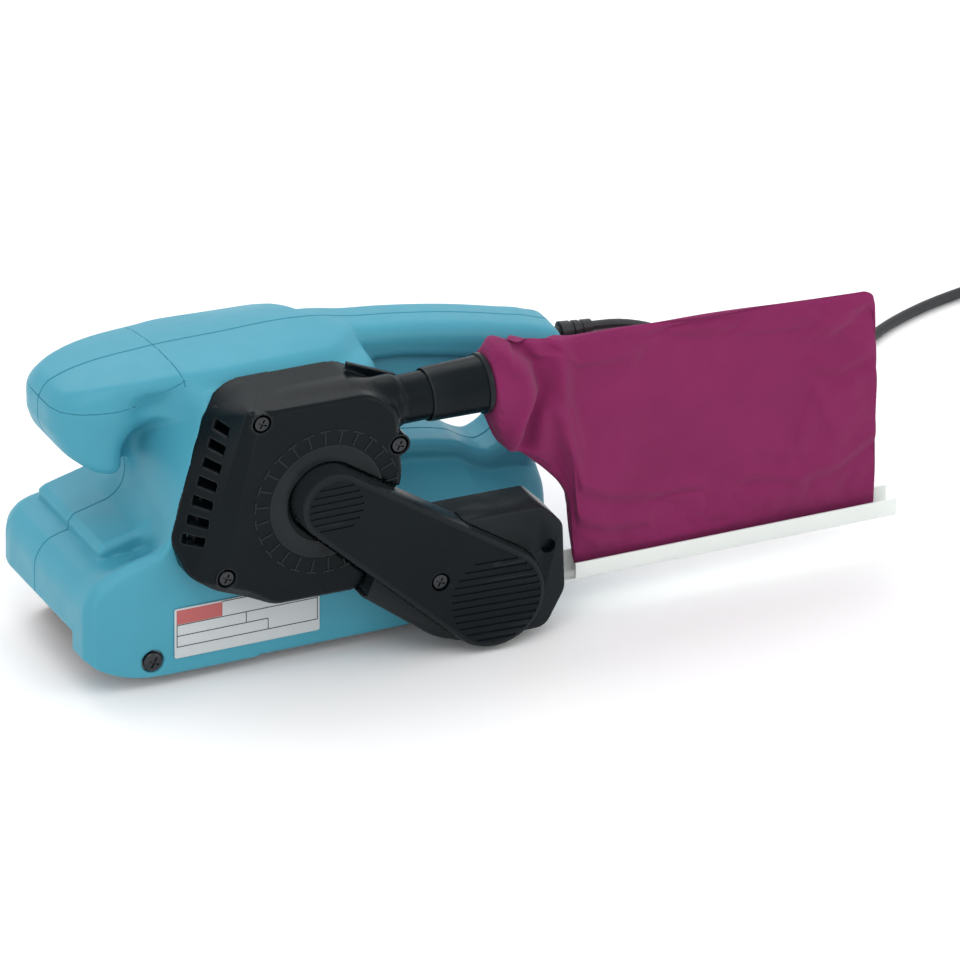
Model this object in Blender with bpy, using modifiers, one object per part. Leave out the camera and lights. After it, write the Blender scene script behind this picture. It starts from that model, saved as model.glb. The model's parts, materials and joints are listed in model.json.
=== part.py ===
"""Compact handheld belt sander for 76 x 457 mm belts, modelled as separate pieces.

Frame: +X from the front knob to the rear handle, +Y from the drive side to the open side,
+Z up.  The origin lies on the belt's flat underside, on the seam of the two housing halves.
All sizes below are in millimetres; MM turns them into Blender's metres.
"""

import math

import bmesh
import bpy
import numpy as np
from mathutils import Matrix, Vector

MM = 0.001

# Driving dimensions -------------------------------------------------------------------
GAP = 0.3                      # clearance between pieces that touch
BELT_LENGTH = 457.0            # inner length of the sanding belt
BELT_WIDTH = 76.0
BELT_THICK = 0.8
REAR_R = 24.0                  # drive roller
FRONT_R = 19.0                 # idler roller
REAR_X = 62.0
REAR_Z = BELT_THICK + GAP + REAR_R
IDLER_GAP = 0.6                # room for the idler roller to steer inside the belt
FRONT_Z = BELT_THICK + IDLER_GAP + FRONT_R
ROLLER_SPAN = (BELT_LENGTH - math.pi * (REAR_R + GAP + FRONT_R + IDLER_GAP)) / 2
FRONT_X = REAR_X - ROLLER_SPAN
MOTOR_X, MOTOR_Z = -18.0, 91.0 # motor shaft, which runs along Y
WALL = 2.7                     # moulded wall of the housing
WALL_LEFT = -60.0              # outer face of the lower housing on the drive side
WALL_RIGHT = 45.0              # the same on the open side
COVER_FACE = -78.0             # outer face of the fan cover
ARM_FACE = -90.0               # outer face of the drive belt cover
ARM_BACK = -74.3               # rim of the drive belt cover
GUARD_FACE = -84.0             # outer face of the lower guard
MOTOR_PULLEY_R, ROLLER_PULLEY_R = 4.6, 18.0
SPOUT_Y, SPOUT_Z = -62.0, 125.0
CORD_R = 2.5                   # 5 mm two-core lead
CORD_Z = 108.6                 # height at which it leaves the handle
TURN = 2 * CORD_R + 0.2        # pitch of the turns in the coil
COIL_X, COIL_Y = 500.0, 196.0
COIL_TURNS_ACROSS = 4
COIL_INNER = 21.0              # middle line of the innermost turn

HOUSING_TEAL = (0.085, 0.36, 0.46, 1)
BLACK_PLASTIC = (0.012, 0.015, 0.017, 1)


# Scene and helpers --------------------------------------------------------------------
def clear_scene():
    for old in list(bpy.data.objects):
        bpy.data.objects.remove(old, do_unlink=True)


def collection(name, hidden=False):
    made = bpy.data.collections.new(name)
    bpy.context.scene.collection.children.link(made)
    made.hide_render = hidden
    return made


clear_scene()
PARTS = collection("belt_sander")
CUTTERS = collection("cutters", hidden=True)


def paint(name, colour, roughness=0.5, metallic=0.0):
    material = bpy.data.materials.new(name)
    material.use_nodes = True
    shader = material.node_tree.nodes["Principled BSDF"]
    shader.inputs["Base Color"].default_value = colour
    shader.inputs["Roughness"].default_value = roughness
    shader.inputs["Metallic"].default_value = metallic
    material.diffuse_color = colour
    return material


TEAL = paint("teal_abs", HOUSING_TEAL, 0.4)
BLACK = paint("black_abs", BLACK_PLASTIC, 0.45)
STEEL = paint("steel", (0.55, 0.55, 0.56, 1), 0.3, 1.0)
ALLOY = paint("cast_alloy", (0.6, 0.61, 0.62, 1), 0.5, 1.0)
COPPER = paint("copper_wire", (0.55, 0.22, 0.09, 1), 0.35, 1.0)
CARBON = paint("carbon", (0.02, 0.02, 0.02, 1), 0.7)
BRASS = paint("brass", (0.7, 0.5, 0.2, 1), 0.3, 1.0)
RUBBER = paint("rubber", (0.015, 0.015, 0.016, 1), 0.8)
CORK = paint("cork", (0.35, 0.2, 0.1, 1), 0.9)
GRIT = paint("abrasive", (0.12, 0.035, 0.02, 1), 0.95)
WHITE = paint("white_plastic", (0.85, 0.88, 0.86, 1), 0.4)
FABRIC = paint("bag_fabric", (0.26, 0.05, 0.13, 1), 0.9)
LABEL = paint("label", (0.6, 0.62, 0.62, 1), 0.4)


def place(name, mesh, material, group=None):
    made = bpy.data.objects.new(name, mesh)
    (group or PARTS).objects.link(made)
    mesh.materials.clear()
    mesh.materials.append(material or STEEL)
    return made


def guide(made):
    """Takes a cutter or a blank out of the part: it only shapes other pieces."""
    PARTS.objects.unlink(made)
    CUTTERS.objects.link(made)
    made.hide_render = True
    made.display_type = "WIRE"
    return made


def shade(mesh):
    mesh.shade_smooth()
    mesh.set_sharp_from_angle(angle=math.radians(35))


def box(name, low, high, material=None):
    bm = bmesh.new()
    bmesh.ops.create_cube(bm, size=1)
    low, high = Vector(low) * MM, Vector(high) * MM
    size = high - low
    bmesh.ops.scale(bm, vec=size, verts=bm.verts)
    mesh = bpy.data.meshes.new(name)
    bm.to_mesh(mesh)
    bm.free()
    made = place(name, mesh, material)
    made.location = (low + high) / 2
    return made


ALONG = {
    "X": Matrix.Rotation(math.pi / 2, 4, "Y"),
    "Y": Matrix.Rotation(-math.pi / 2, 4, "X"),
    "Z": Matrix.Identity(4),
}


def rod(name, centre, radius, length, axis="Y", material=None, segments=24, far_radius=None):
    """A cylinder, or a cone when far_radius is given, centred on a point."""
    bm = bmesh.new()
    bmesh.ops.create_cone(
        bm, cap_ends=True, segments=segments, radius1=radius * MM,
        radius2=(radius if far_radius is None else far_radius) * MM, depth=length * MM,
    )
    bmesh.ops.transform(bm, matrix=ALONG[axis], verts=bm.verts)
    mesh = bpy.data.meshes.new(name)
    bm.to_mesh(mesh)
    bm.free()
    shade(mesh)
    made = place(name, mesh, material)
    made.location = Vector(centre) * MM
    return made


def rod_y(name, x, z, radius, y0, y1, material=None, segments=24):
    return rod(name, (x, (y0 + y1) / 2, z), radius, abs(y1 - y0), "Y", material, segments)


def turned(name, profile, centre, axis="Y", material=None, steps=24, closed=True):
    """A profile of (radius, height) points turned round an axis.

    The points run down the outer side, from the far end of the axis to the near end.
    """
    mesh = bpy.data.meshes.new(name)
    points = [(r * MM, 0.0, h * MM) for r, h in profile]
    edges = [(i, i + 1) for i in range(len(points) - 1)]
    if closed:
        edges.append((len(points) - 1, 0))
    mesh.from_pydata(points, edges, [])
    made = place(name, mesh, material)
    screw = made.modifiers.new("turn", "SCREW")
    screw.steps = screw.render_steps = steps
    screw.use_merge_vertices = True
    screw.merge_threshold = 0.00001
    made.matrix_world = Matrix.Translation(Vector(centre) * MM) @ ALONG[axis]
    return made


def ring(name, centre, outer, inner, length, axis="Y", material=None, steps=24):
    half = length / 2
    profile = [(inner, half), (outer, half), (outer, -half), (inner, -half)]
    return turned(name, profile, centre, axis, material, steps)


def rounded(points, radius, steps=3):
    """An outline whose corners are arcs; radius is one number or one for each corner."""
    radii = radius if isinstance(radius, (list, tuple)) else [radius] * len(points)
    out = []
    for i, (corner, r) in enumerate(zip(points, radii, strict=True)):
        here = Vector(corner)
        to_last = (Vector(points[i - 1]) - here)
        to_next = (Vector(points[(i + 1) % len(points)]) - here)
        if r <= 0:
            out.append(tuple(here))
            continue
        half = to_last.angle(to_next) / 2
        reach = min(r / math.tan(half), 0.49 * to_last.length, 0.49 * to_next.length)
        start = here + to_last.normalized() * reach
        end = here + to_next.normalized() * reach
        for k in range(steps + 1):
            t = k / steps
            out.append(tuple(start * (1 - t) ** 2 + here * 2 * t * (1 - t) + end * t**2))
    return out


def plate(name, outline, low, high, axis="Y", material=None):
    """A flat outline given a thickness from low to high along an axis.

    The outline is in (X, Z) for axis Y, in (X, Y) for axis Z and in (Y, Z) for axis X.
    """
    curve = bpy.data.curves.new(name, "CURVE")
    curve.dimensions = "2D"
    curve.fill_mode = "BOTH"
    curve.extrude = abs(high - low) / 2 * MM
    spline = curve.splines.new("POLY")
    spline.points.add(len(outline) - 1)
    for point, (u, v) in zip(spline.points, outline, strict=True):
        point.co = (u * MM, v * MM, 0, 1)
    spline.use_cyclic_u = True
    flat = bpy.data.objects.new(name + "_outline", curve)
    PARTS.objects.link(flat)
    graph = bpy.context.evaluated_depsgraph_get()
    mesh = bpy.data.meshes.new_from_object(flat.evaluated_get(graph))
    bpy.data.objects.remove(flat, do_unlink=True)
    mid = (low + high) / 2 * MM
    turn = {
        "Y": Matrix(((1, 0, 0, 0), (0, 0, -1, mid), (0, 1, 0, 0), (0, 0, 0, 1))),
        "Z": Matrix.Translation((0, 0, mid)),
        "X": Matrix(((0, 0, 1, mid), (1, 0, 0, 0), (0, 1, 0, 0), (0, 0, 0, 1))),
    }[axis]
    bm = bmesh.new()
    bm.from_mesh(mesh)
    bmesh.ops.remove_doubles(bm, verts=bm.verts, dist=0.00001)
    bmesh.ops.transform(bm, matrix=turn, verts=bm.verts)
    bmesh.ops.recalc_face_normals(bm, faces=bm.faces)
    bm.to_mesh(mesh)
    bm.free()
    mesh.name = name
    return place(name, mesh, material)


def hull(name, points, material=None):
    """The tight skin round a set of points."""
    bm = bmesh.new()
    for point in points:
        bm.verts.new(Vector(point) * MM)
    result = bmesh.ops.convex_hull(bm, input=bm.verts)
    inside = {v for v in result["geom_interior"] + result["geom_unused"] if isinstance(v, bmesh.types.BMVert)}
    bmesh.ops.delete(bm, geom=list(inside), context="VERTS")
    bmesh.ops.dissolve_limit(bm, angle_limit=math.radians(1), verts=bm.verts, edges=bm.edges)
    bmesh.ops.recalc_face_normals(bm, faces=bm.faces)
    mesh = bpy.data.meshes.new(name)
    bm.to_mesh(mesh)
    bm.free()
    return place(name, mesh, material)


def round_edges(made, width, segments=1, angle=30):
    bevel = made.modifiers.new("round", "BEVEL")
    bevel.width = width * MM
    bevel.segments = segments
    bevel.limit_method = "ANGLE"
    bevel.angle_limit = math.radians(angle)
    return made


def combine(target, operation, *others):
    for other in others:
        step = target.modifiers.new(other.name, "BOOLEAN")
        step.operation = operation
        step.object = other
        if other.name in PARTS.objects:
            guide(other)
    return target


def add(target, *others):
    return combine(target, "UNION", *others)


def cut(target, *others):
    return combine(target, "DIFFERENCE", *others)


def keep(target, *others):
    return combine(target, "INTERSECT", *others)


def screw(name, x, z, shank, head, radii=(1.6, 3.4)):
    """A machine screw along Y: shank and head are each a pair of Y values."""
    made = rod_y(name, x, z, radii[0], *shank, STEEL, 10)
    return add(made, rod_y(name + "_head", x, z, radii[1], *head, segments=14))


def wire(name, points, radius, material, resolution=2):
    """A round wire through the points of a smooth curve."""
    curve = bpy.data.curves.new(name, "CURVE")
    curve.dimensions = "3D"
    curve.bevel_depth = radius * MM
    curve.bevel_resolution = resolution
    curve.use_fill_caps = True
    spline = curve.splines.new("POLY")
    spline.points.add(len(points) - 1)
    for point, xyz in zip(spline.points, points, strict=True):
        point.co = (*(Vector(xyz) * MM), 1)
    made = bpy.data.objects.new(name, curve)
    PARTS.objects.link(made)
    curve.materials.append(material)
    return made


def smooth_curve(points, spacing):
    """Points at about the given spacing on a Catmull-Rom curve through the route's points."""
    route = [Vector(p) for p in points]
    route = [route[0] * 2 - route[1], *route, route[-1] * 2 - route[-2]]
    fine = []
    for a, b, c, d in zip(route, route[1:], route[2:], route[3:]):
        for k in range(24):
            t = k / 24
            fine.append(0.5 * ((2 * b) + (c - a) * t + (2 * a - 5 * b + 4 * c - d) * t**2
                               + (3 * b - a - 3 * c + d) * t**3))
    fine.append(route[-2])
    along = np.cumsum([0.0, *[(q - p).length for p, q in zip(fine, fine[1:])]])
    count = max(2, round(along[-1] / spacing) + 1)
    at = np.linspace(0.0, along[-1], count)
    return [tuple(np.interp(s, along, [p[i] for p in fine]) for i in range(3)) for s in at]


def two_circle_outline(x0, z0, r0, x1, z1, r1, steps=10):
    """The outline of a band stretched round two circles."""
    angle = math.atan2(z1 - z0, x1 - x0)
    lean = math.acos((r0 - r1) / math.hypot(x1 - x0, z1 - z0))
    out = []
    for k in range(steps + 1):
        a = angle + lean + (2 * math.pi - 2 * lean) * k / steps
        out.append((x0 + r0 * math.cos(a), z0 + r0 * math.sin(a)))
    for k in range(steps + 1):
        a = angle - lean + 2 * lean * k / steps
        out.append((x1 + r1 * math.cos(a), z1 + r1 * math.sin(a)))
    return out


def band(name, circles, grow_in, grow_out, y0, y1, material, steps=10):
    """A closed belt: the outline round two circles, less a smaller one of the same shape."""
    (x0, z0, r0), (x1, z1, r1) = circles
    outer = plate(name, two_circle_outline(x0, z0, r0 + grow_out, x1, z1, r1 + grow_out, steps), y0, y1,
                  material=material)
    inner = plate(name + "_inside", two_circle_outline(x0, z0, r0 + grow_in, x1, z1, r1 + grow_in, steps),
                  y0 - 5, y1 + 5)
    return cut(outer, inner)


# Housing ------------------------------------------------------------------------------
KNOB_TOP = [(-129, 112), (-129, 130), (-126, 135), (-118, 139.5), (-99, 143), (-72, 144.5), (8, 144.5), (26, 141)]
HANDLE_TOP = [(49, 136.5), (79, 131), (105, 124.5), (120, 120), (130, 114.8), (133.5, 107), (132, 98)]
HANDLE_BACK = [(127, 84), (121, 66), (117, 48)]
FINGER_GAP = [(30, 121), (47, 120), (76, 114), (98, 107), (108, 101), (111, 93), (107, 82), (100, 74),
              (90, 70.5), (80, 71), (71, 77), (63, 84), (54, 87), (30, 87)]


def housing_blank():
    """The outer form of both halves together."""
    hood = plate("hood_form", rounded(
        [(-131, 27), (-131, 48), (-124, 58), (-90, 70), (-60, 73), (95, 73), (119, 50), (112, 24), (96, 6), (-112, 6)],
        [4, 8, 6, 8, 8, 6, 6, 8, 5, 5]), WALL_LEFT, WALL_RIGHT)
    hood_plan = plate("hood_plan", rounded(
        [(-131, WALL_RIGHT), (-131, WALL_LEFT), (90, WALL_LEFT), (112, -38), (122, -16), (122, 30),
         (108, WALL_RIGHT)], [18, 22, 6, 12, 12, 12, 10], 4), -20, 160, "Z")
    keep(hood, round_edges(hood_plan, 0.5))
    upper = plate("upper_form", rounded(
        [*KNOB_TOP, (40, 125), (40, 60), (-95, 60), (-84, 80), (-88, 92), (-97, 96.5), (-112, 98), (-124, 106)],
        [3, 2, 2, 2, 2, 2, 4, 3, 0, 0, 0, 6, 4, 4, 5, 4], 2), -33, 33)
    upper_plan = plate("upper_plan", rounded(
        [(-129.5, 24), (-129.5, -24), (-100, -33.5), (6, -33.5), (26, -16.5), (60, -16.5), (60, 16.5), (26, 16.5),
         (6, 33.5), (-100, 33.5)], [8, 8, 10, 10, 10, 0, 0, 10, 10, 10], 3), 20, 160, "Z")
    keep(upper, upper_plan)
    flare = hull("flare_form", [
        (-86, -58, 66), (-86, 43, 66), (34, -58, 66), (40, 43, 66), (-80, -33, 100), (-80, 33, 100),
        (28, -33, 100), (30, 33, 100)])
    handle = plate("handle_form", rounded(
        [(0, 143), (26, 141), *HANDLE_TOP, *HANDLE_BACK, (20, 48), (0, 60)],
        [0, 3, 3, 3, 3, 3, 4, 4, 3, 4, 3, 0, 0, 0], 2), -16.5, 16.5)
    round_edges(handle, 5, 2, 50)
    barrel = rod_y("barrel_form", MOTOR_X, MOTOR_Z, 40, 0, 66, segments=40)
    round_edges(barrel, 6, 2, 50)
    add(hood, upper, flare, handle, barrel)
    hole = plate("finger_gap", rounded(FINGER_GAP, 3, 2), -40, 40)
    return guide(cut(hood, hole))


def hollow_out(blank):
    """Makes the blank a shell: belt bay, motor bay and the rooms in knob, handle and neck."""
    belt_bay = plate("belt_bay", rounded(
        [(-112, -10), (-112, 54), (92, 60), (108, 50), (100, 22), (86, -10)], [0, 3, 3, 3, 3, 0]),
        WALL_LEFT + WALL, 70)
    nose_bay = plate("nose_bay", rounded(
        [(-140, -10), (-140, 27), (-127.5, 29), (-127, 46), (-118, 54), (-100, 54), (-100, -10)],
        [0, 0, 2, 4, 4, 0, 0]), -43, 70)
    motor_bay = rod_y("motor_bay", MOTOR_X, MOTOR_Z, 37, -70, 62.8, segments=36)
    knob_room = plate("knob_room", rounded(
        [(-124, 112), (-124, 130), (-96, 139), (-48, 140.5), (-48, 104), (-76, 100), (-110, 104)], 3), -26, 26)
    grip_room = plate("grip_room", rounded(
        [(-8, 139.5), (24, 137.5), (49, 132.5), (105, 119.5), (127, 111), (127, 106), (110, 108), (76, 116),
         (50, 121.5), (28, 123), (28, 96), (-8, 96)], 2, 2), -12.8, 12.8)
    cut(blank, belt_bay, nose_bay, motor_bay, knob_room, grip_room)
    return blank


SCREW_POSTS = [(-112, 116, 28), (-76, 86, 28), (119.5, 89, 14), (104, 64, 14)]  # X, Z and half length


def housing():
    blank = hollow_out(housing_blank())
    trigger_slot = plate("trigger_slot", [(31.5, 124.5), (31.5, 105), (98, 100), (98, 117)], -13.6, 13.6)
    cord_hole = rod("cord_hole", (126, 0, CORD_Z), CORD_R + 1.1, 30, "X", segments=16)
    cut(blank, trigger_slot, cord_hole)
    bearing_boss = rod_y("bearing_boss", MOTOR_X, MOTOR_Z, 11, 56, 63.5, segments=24)
    posts = [rod_y(f"post_{i}", x, z, 4.6, -reach, reach, segments=12)
             for i, (x, z, reach) in enumerate(SCREW_POSTS)]
    add(blank, bearing_boss, *posts)
    bores = [rod_y(f"post_bore_{i}", x, z, 1.9, 6 - reach, 40, segments=10)
             for i, (x, z, reach) in enumerate(SCREW_POSTS)]
    heads = [rod_y(f"post_head_{i}", x, z, 3.8, reach - 2, 40, segments=12)
             for i, (x, z, reach) in enumerate(SCREW_POSTS)]
    shaft_hole = rod_y("shaft_hole", REAR_X, REAR_Z, 9, -70, -50, segments=20)
    tracking_hole = rod_y("tracking_hole", FRONT_X, 14, 5.4, -70, -50, segments=16)
    lock_hole = rod_y("lock_hole", 38, 128, 4.4, 8, 20, segments=14)
    dial_slot = box("dial_slot", (97, 11, 111), (108, 20, 115.4))
    bearing_seat = rod_y("bearing_seat", MOTOR_X, MOTOR_Z, 8.3, 50, 64, segments=24)
    cut(blank, *bores, *heads, shaft_hole, tracking_hole, lock_hole, dial_slot, bearing_seat)
    left = box("housing_left", (-140, -70, -2), (140, -GAP / 2, 150), TEAL)
    right = box("housing_right", (-140, GAP / 2, -2), (140, 70, 150), TEAL)
    keep(left, blank)
    keep(right, blank)
    for i, (x, z, reach) in enumerate(SCREW_POSTS):
        screw(f"housing_screw_{i + 1}", x, z, (7 - reach, reach), (reach - 2 + GAP, reach + 0.6))
    box("name_plate", (-87, WALL_LEFT - 0.8, 13.5), (-14, WALL_LEFT - GAP, 39), LABEL)


housing()


# Drive side covers --------------------------------------------------------------------
ARM_TOP = (MOTOR_X, MOTOR_Z, 17.0)
ARM_LOW = (REAR_X, 27.5, 25.5)
COVER_OUTLINE = [(-55, 142), (5.5, 139), (18, 129), (21, 92), (-1, 39.5), (-44, 40), (-72, 52.5), (-76, 60)]
GUARD_OUTLINE = [(20, 68), (88, 67), (99, 56), (100, 22), (90, 4), (52, 3.6), (34, 10), (-2, 38), (-2, 60)]
COVER_SCREWS = [(-50, 135, -46), (19, 110, -46), (-68, 59, -62)]   # X, Z and the tip of the shank
ARM_SCREW = (34.2, 41.7)


def arm_plate(name, grow, y0, y1, material=None, steps=12):
    (x0, z0, r0), (x1, z1, r1) = ARM_TOP, ARM_LOW
    return plate(name, two_circle_outline(x0, z0, r0 + grow, x1, z1, r1 + grow, steps), y0, y1, material=material)


def fan_cover():
    cover = hull("fan_cover", [
        *[(x, COVER_FACE, z) for x, z in rounded(COVER_OUTLINE, 2, 1)],
        (-60, -33.6, 133), (-54, -33.6, 141), (8, -33.6, 140.5), (20, -33.6, 131), (20, -33.6, 92),
        (-80, -40, 80), (-88, WALL_LEFT - GAP, 75), (-84.4, WALL_LEFT - GAP, 61), (7, WALL_LEFT - GAP, 60),
        (-48, WALL_LEFT - GAP, 42), (-2, WALL_LEFT - GAP, 41)], BLACK)
    room = hull("cover_room", [
        *[(MOTOR_X + (x - MOTOR_X) * 0.93, COVER_FACE + 6.2, MOTOR_Z + (z - MOTOR_Z) * 0.93)
          for x, z in COVER_OUTLINE],
        (-57, -20, 131), (-52, -20, 138), (6, -20, 138), (17, -20, 129), (17, -20, 92),
        (-77, -30, 76), (-84, -50, 74), (5, -50, 64)])
    spout = rod("spout", (40, SPOUT_Y, SPOUT_Z), 11.5, 40, "X", segments=28)
    spout_root = rod("spout_root", (12, SPOUT_Y, SPOUT_Z), 12.6, 18, "X", segments=28)
    spout_bore = rod("spout_bore", (37, SPOUT_Y, SPOUT_Z), 9.6, 60, "X", segments=24)
    hood_room = box("hood_room", (-140, WALL_LEFT - GAP, -5), (140, 0, 73.4))
    flare_room = hull("flare_room", [
        (-88, -59.7, 66), (40, -59.7, 66), (-82, -33.9, 101), (32, -33.9, 101),
        (-88, 0, 66), (40, 0, 66), (-82, 0, 101), (32, 0, 101)])
    boss = rod_y("cover_bearing_boss", MOTOR_X, MOTOR_Z, 10.5, -73, -65, segments=24)
    posts = [rod_y(f"cover_post_{i}", x, z, 3.6, -73, tip - 2 if tip < -50 else -48, segments=12)
             for i, (x, z, tip) in enumerate(COVER_SCREWS)]
    cut(cover, room)
    add(cover, spout, spout_root, boss, *posts)
    cut(cover, spout_bore, hood_room, flare_room, arm_plate("arm_recess", GAP, -95, -74),
        rod_y("cover_bearing_seat", MOTOR_X, MOTOR_Z, 8.3, -73.5, -60, segments=24),
        rod_y("cover_shaft_hole", MOTOR_X, MOTOR_Z, 4.6, -80, -60, segments=16))
    for i, (x, z, tip) in enumerate(COVER_SCREWS):
        cut(cover, rod_y(f"cover_bore_{i}", x, z, 1.9, -79, tip + 3, segments=10),
            rod_y(f"cover_sink_{i}", x, z, 4.4, -80, -75.6, segments=16))
    for row in range(7):
        top = 126 - 9.2 * row
        edge = -58.5 - 0.33 * (128 - top)
        inward = -1.6 * row
        cut(cover, box(f"vent_{row}", (edge - 14, -70, top - 4.4), (edge + 9, -50 + inward, top)))
    for i, (x, z, tip) in enumerate(COVER_SCREWS):
        screw(f"fan_cover_screw_{i + 1}", x, z, (-76, tip), (-77.6, -75.6 - GAP), (1.6, 4.0))


def belt_guards():
    guard = plate("belt_guard_base", rounded(GUARD_OUTLINE, [0, 3, 3, 3, 3, 3, 3, 0, 0], 2),
                  GUARD_FACE, WALL_LEFT - GAP, material=BLACK)
    room = plate("guard_room", rounded(
        [(20, 64), (86, 63.5), (95.5, 54), (96.5, 23), (87, 7), (54, 7), (36, 13), (12, 36)], 2, 1), -71.8, -55)
    cut(guard, room, plate("cover_gap", [(x + 0.8, z - 0.6) for x, z in COVER_OUTLINE], -95, -55),
        arm_plate("guard_recess", GAP, -95, -74),
        rod_y("guard_shaft_hole", REAR_X, REAR_Z, 9, -80, -60, segments=20),
        rod_y("guard_screw_hole", *ARM_SCREW, 1.9, -80, -60, segments=10),
        rod_y("guard_dimple", 91, 46, 4, -90, -81, segments=14))
    arm = arm_plate("belt_cover", 0, ARM_FACE, ARM_BACK, BLACK, 14)
    round_edges(arm, 2.2, 2, 40)
    cut(arm, arm_plate("arm_room", -2.3, ARM_FACE + 2.2, -60))
    add(arm, rod_y("arm_post", *ARM_SCREW, 3.6, ARM_FACE + 1.5, ARM_BACK - GAP, segments=12))
    cut(arm, rod_y("arm_bore", *ARM_SCREW, 1.9, -95, -60, segments=10),
        rod_y("arm_sink", *ARM_SCREW, 4.4, -95, ARM_FACE + 1.9, segments=16))
    screw("belt_cover_screw", *ARM_SCREW, (ARM_FACE + 1, -66), (ARM_FACE + GAP, ARM_FACE + 1.6), (1.6, 4.0))


# Frame, platen and rollers ------------------------------------------------------------
BEAM_LOW, BEAM_TOP = 5.3, 11.0
LEVER_X, LEVER_Y = -44.0, 41.0
STEER_X = -74.0


def frame_and_platen():
    side = plate("base_frame", rounded(
        [(-110, 6), (-110, 40), (-70, 46), (60, 52), (90, 40), (90, 12), (76, 6)], 4, 2), -57, -47, material=ALLOY)
    add(side, box("platen_beam", (-71, -50, BEAM_LOW), (34, 37, BEAM_TOP)),
        box("spring_post", (-20, -12, 10), (-12, 12, 29)),
        box("rail_left", (-58, -26, 10), (-30, -21, 20)),
        box("rail_right", (-58, 21, 10), (-30, 26, 20)),
        box("lever_post", (-49, 29, 10), (-39, 35, 33)),
        box("lever_lug_low", (-49, 30, 12), (-39, 46, 16.6)),
        box("lever_lug_high", (-49, 30, 29.4), (-39, 46, 33)),
        rod_y("rear_boss", REAR_X, REAR_Z, 14, -57, -42, segments=28))
    cut(side, rod_y("bearing_pocket", REAR_X, REAR_Z, 11.3, -55.8, -40, segments=28),
        rod_y("shaft_bore", REAR_X, REAR_Z, 7, -60, -40, segments=20),
        rod_y("tracking_thread", FRONT_X, 14, 2.8, -60, -40, segments=12))
    add(side, rod("lever_pin", (LEVER_X, LEVER_Y, 22.5), 2.0, 18, "Z", segments=12))
    ring("shaft_bearing", (REAR_X, -49, REAR_Z), 11, 6.2, 13, material=STEEL)
    box("platen_plate", (-76, -37, BELT_THICK + GAP), (34, 37, 2.0), STEEL)
    box("platen_cork", (-76, -37, 2.3), (34, 37, BEAM_LOW - GAP), CORK)


def rollers():
    roller = turned("drive_roller", [(6.2, 36), (20, 36), (20, 38), (REAR_R, 38), (REAR_R, -38), (20, -38),
                                     (20, -34), (6.2, -34)], (REAR_X, 0, REAR_Z), material=RUBBER, steps=36)
    turned("drive_shaft", [(0, 37.5), (5.9, 37.5), (5.9, -76), (4.2, -76), (4.2, -86.9), (0, -86.9)],
           (REAR_X, 0, REAR_Z), material=STEEL, steps=20, closed=False)
    turned("roller_pulley", [(4.5, -77.2), (ROLLER_PULLEY_R, -77.2), (ROLLER_PULLEY_R, -84), (4.5, -84)],
           (REAR_X, 0, REAR_Z), material=BLACK, steps=32)
    ring("pulley_nut", (REAR_X, -85.8, REAR_Z), 7, 4.6, 2.6, material=STEEL, steps=12)
    ring("idler_roller", (FRONT_X, 0, FRONT_Z), FRONT_R, 5.2, 2 * 38, material=ALLOY, steps=32)
    rod_y("idler_axle", FRONT_X, FRONT_Z, 4.7, -43.6, 43.6, STEEL, 16)
    yoke = plate("idler_yoke", rounded([(-77.6, -44), (-77.6, 44), (-70.3, 44), (-70.3, -44)], 1, 1), 15, 27, "Z", STEEL)
    for side in (-1, 1):
        add(yoke, plate(f"yoke_arm_{side}", rounded(
            [(FRONT_X - 7, 13.5), (FRONT_X - 7, 27), (-70.3, 27), (-70.3, 15)], [6, 6, 1, 1], 3),
            side * 41.3, side * 44))
    cut(yoke, rod_y("axle_hole", FRONT_X, FRONT_Z, 5.0, -50, 50, segments=16),
        rod("steer_hole", (STEER_X, 0, 20), 2.3, 30, "Z", segments=12))
    rod("steer_pin", (STEER_X, 0, 21.2), 2.0, 19, "Z", STEEL, 12)
    slider = box("idler_carriage", (-69.5, -20, 11.4), (-49.9, 20, 26), STEEL)
    add(slider, box("fork_low", (-77.4, -6, 11.4), (-68, 6, 14.6)),
        box("fork_high", (-77.4, -6, 27.4), (-64, 6, 31)), box("fork_web", (-69.5, -6, 20), (-64, 6, 30)))
    cut(slider, rod("steer_hole_fork", (STEER_X, 0, 20), 2.3, 40, "Z", segments=12))
    coil = [(-48.9 + 27.8 * k / 50, 4 * math.cos(math.tau * k / 10), 18.5 + 4 * math.sin(math.tau * k / 10))
            for k in range(51)]
    wire("tension_spring", coil, 0.7, STEEL)
    lever = plate("belt_lever", rounded(
        [(LEVER_X - 5, LEVER_Y - 3), (LEVER_X - 5, LEVER_Y + 4.5), (LEVER_X + 50, LEVER_Y + 3),
         (LEVER_X + 50, LEVER_Y - 1)], [3, 3, 1.5, 1], 2), 17, 29, "Z", STEEL)
    cut(lever, rod("lever_eye", (LEVER_X, LEVER_Y, 22), 2.3, 30, "Z", segments=12))
    screw("tracking_screw", FRONT_X, 14, (-58, -45), (-61.2, -57.4), (2.5, 4.9))
    band("sanding_belt", ((FRONT_X, FRONT_Z, FRONT_R + IDLER_GAP - GAP), (REAR_X, REAR_Z, REAR_R)),
         GAP, GAP + BELT_THICK, -BELT_WIDTH / 2, BELT_WIDTH / 2, GRIT, 14)
    band("timing_belt", ((MOTOR_X, MOTOR_Z, MOTOR_PULLEY_R), (REAR_X, REAR_Z, ROLLER_PULLEY_R)),
         GAP, GAP + 1.4, -83.4, -77.8, RUBBER, 10)


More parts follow.
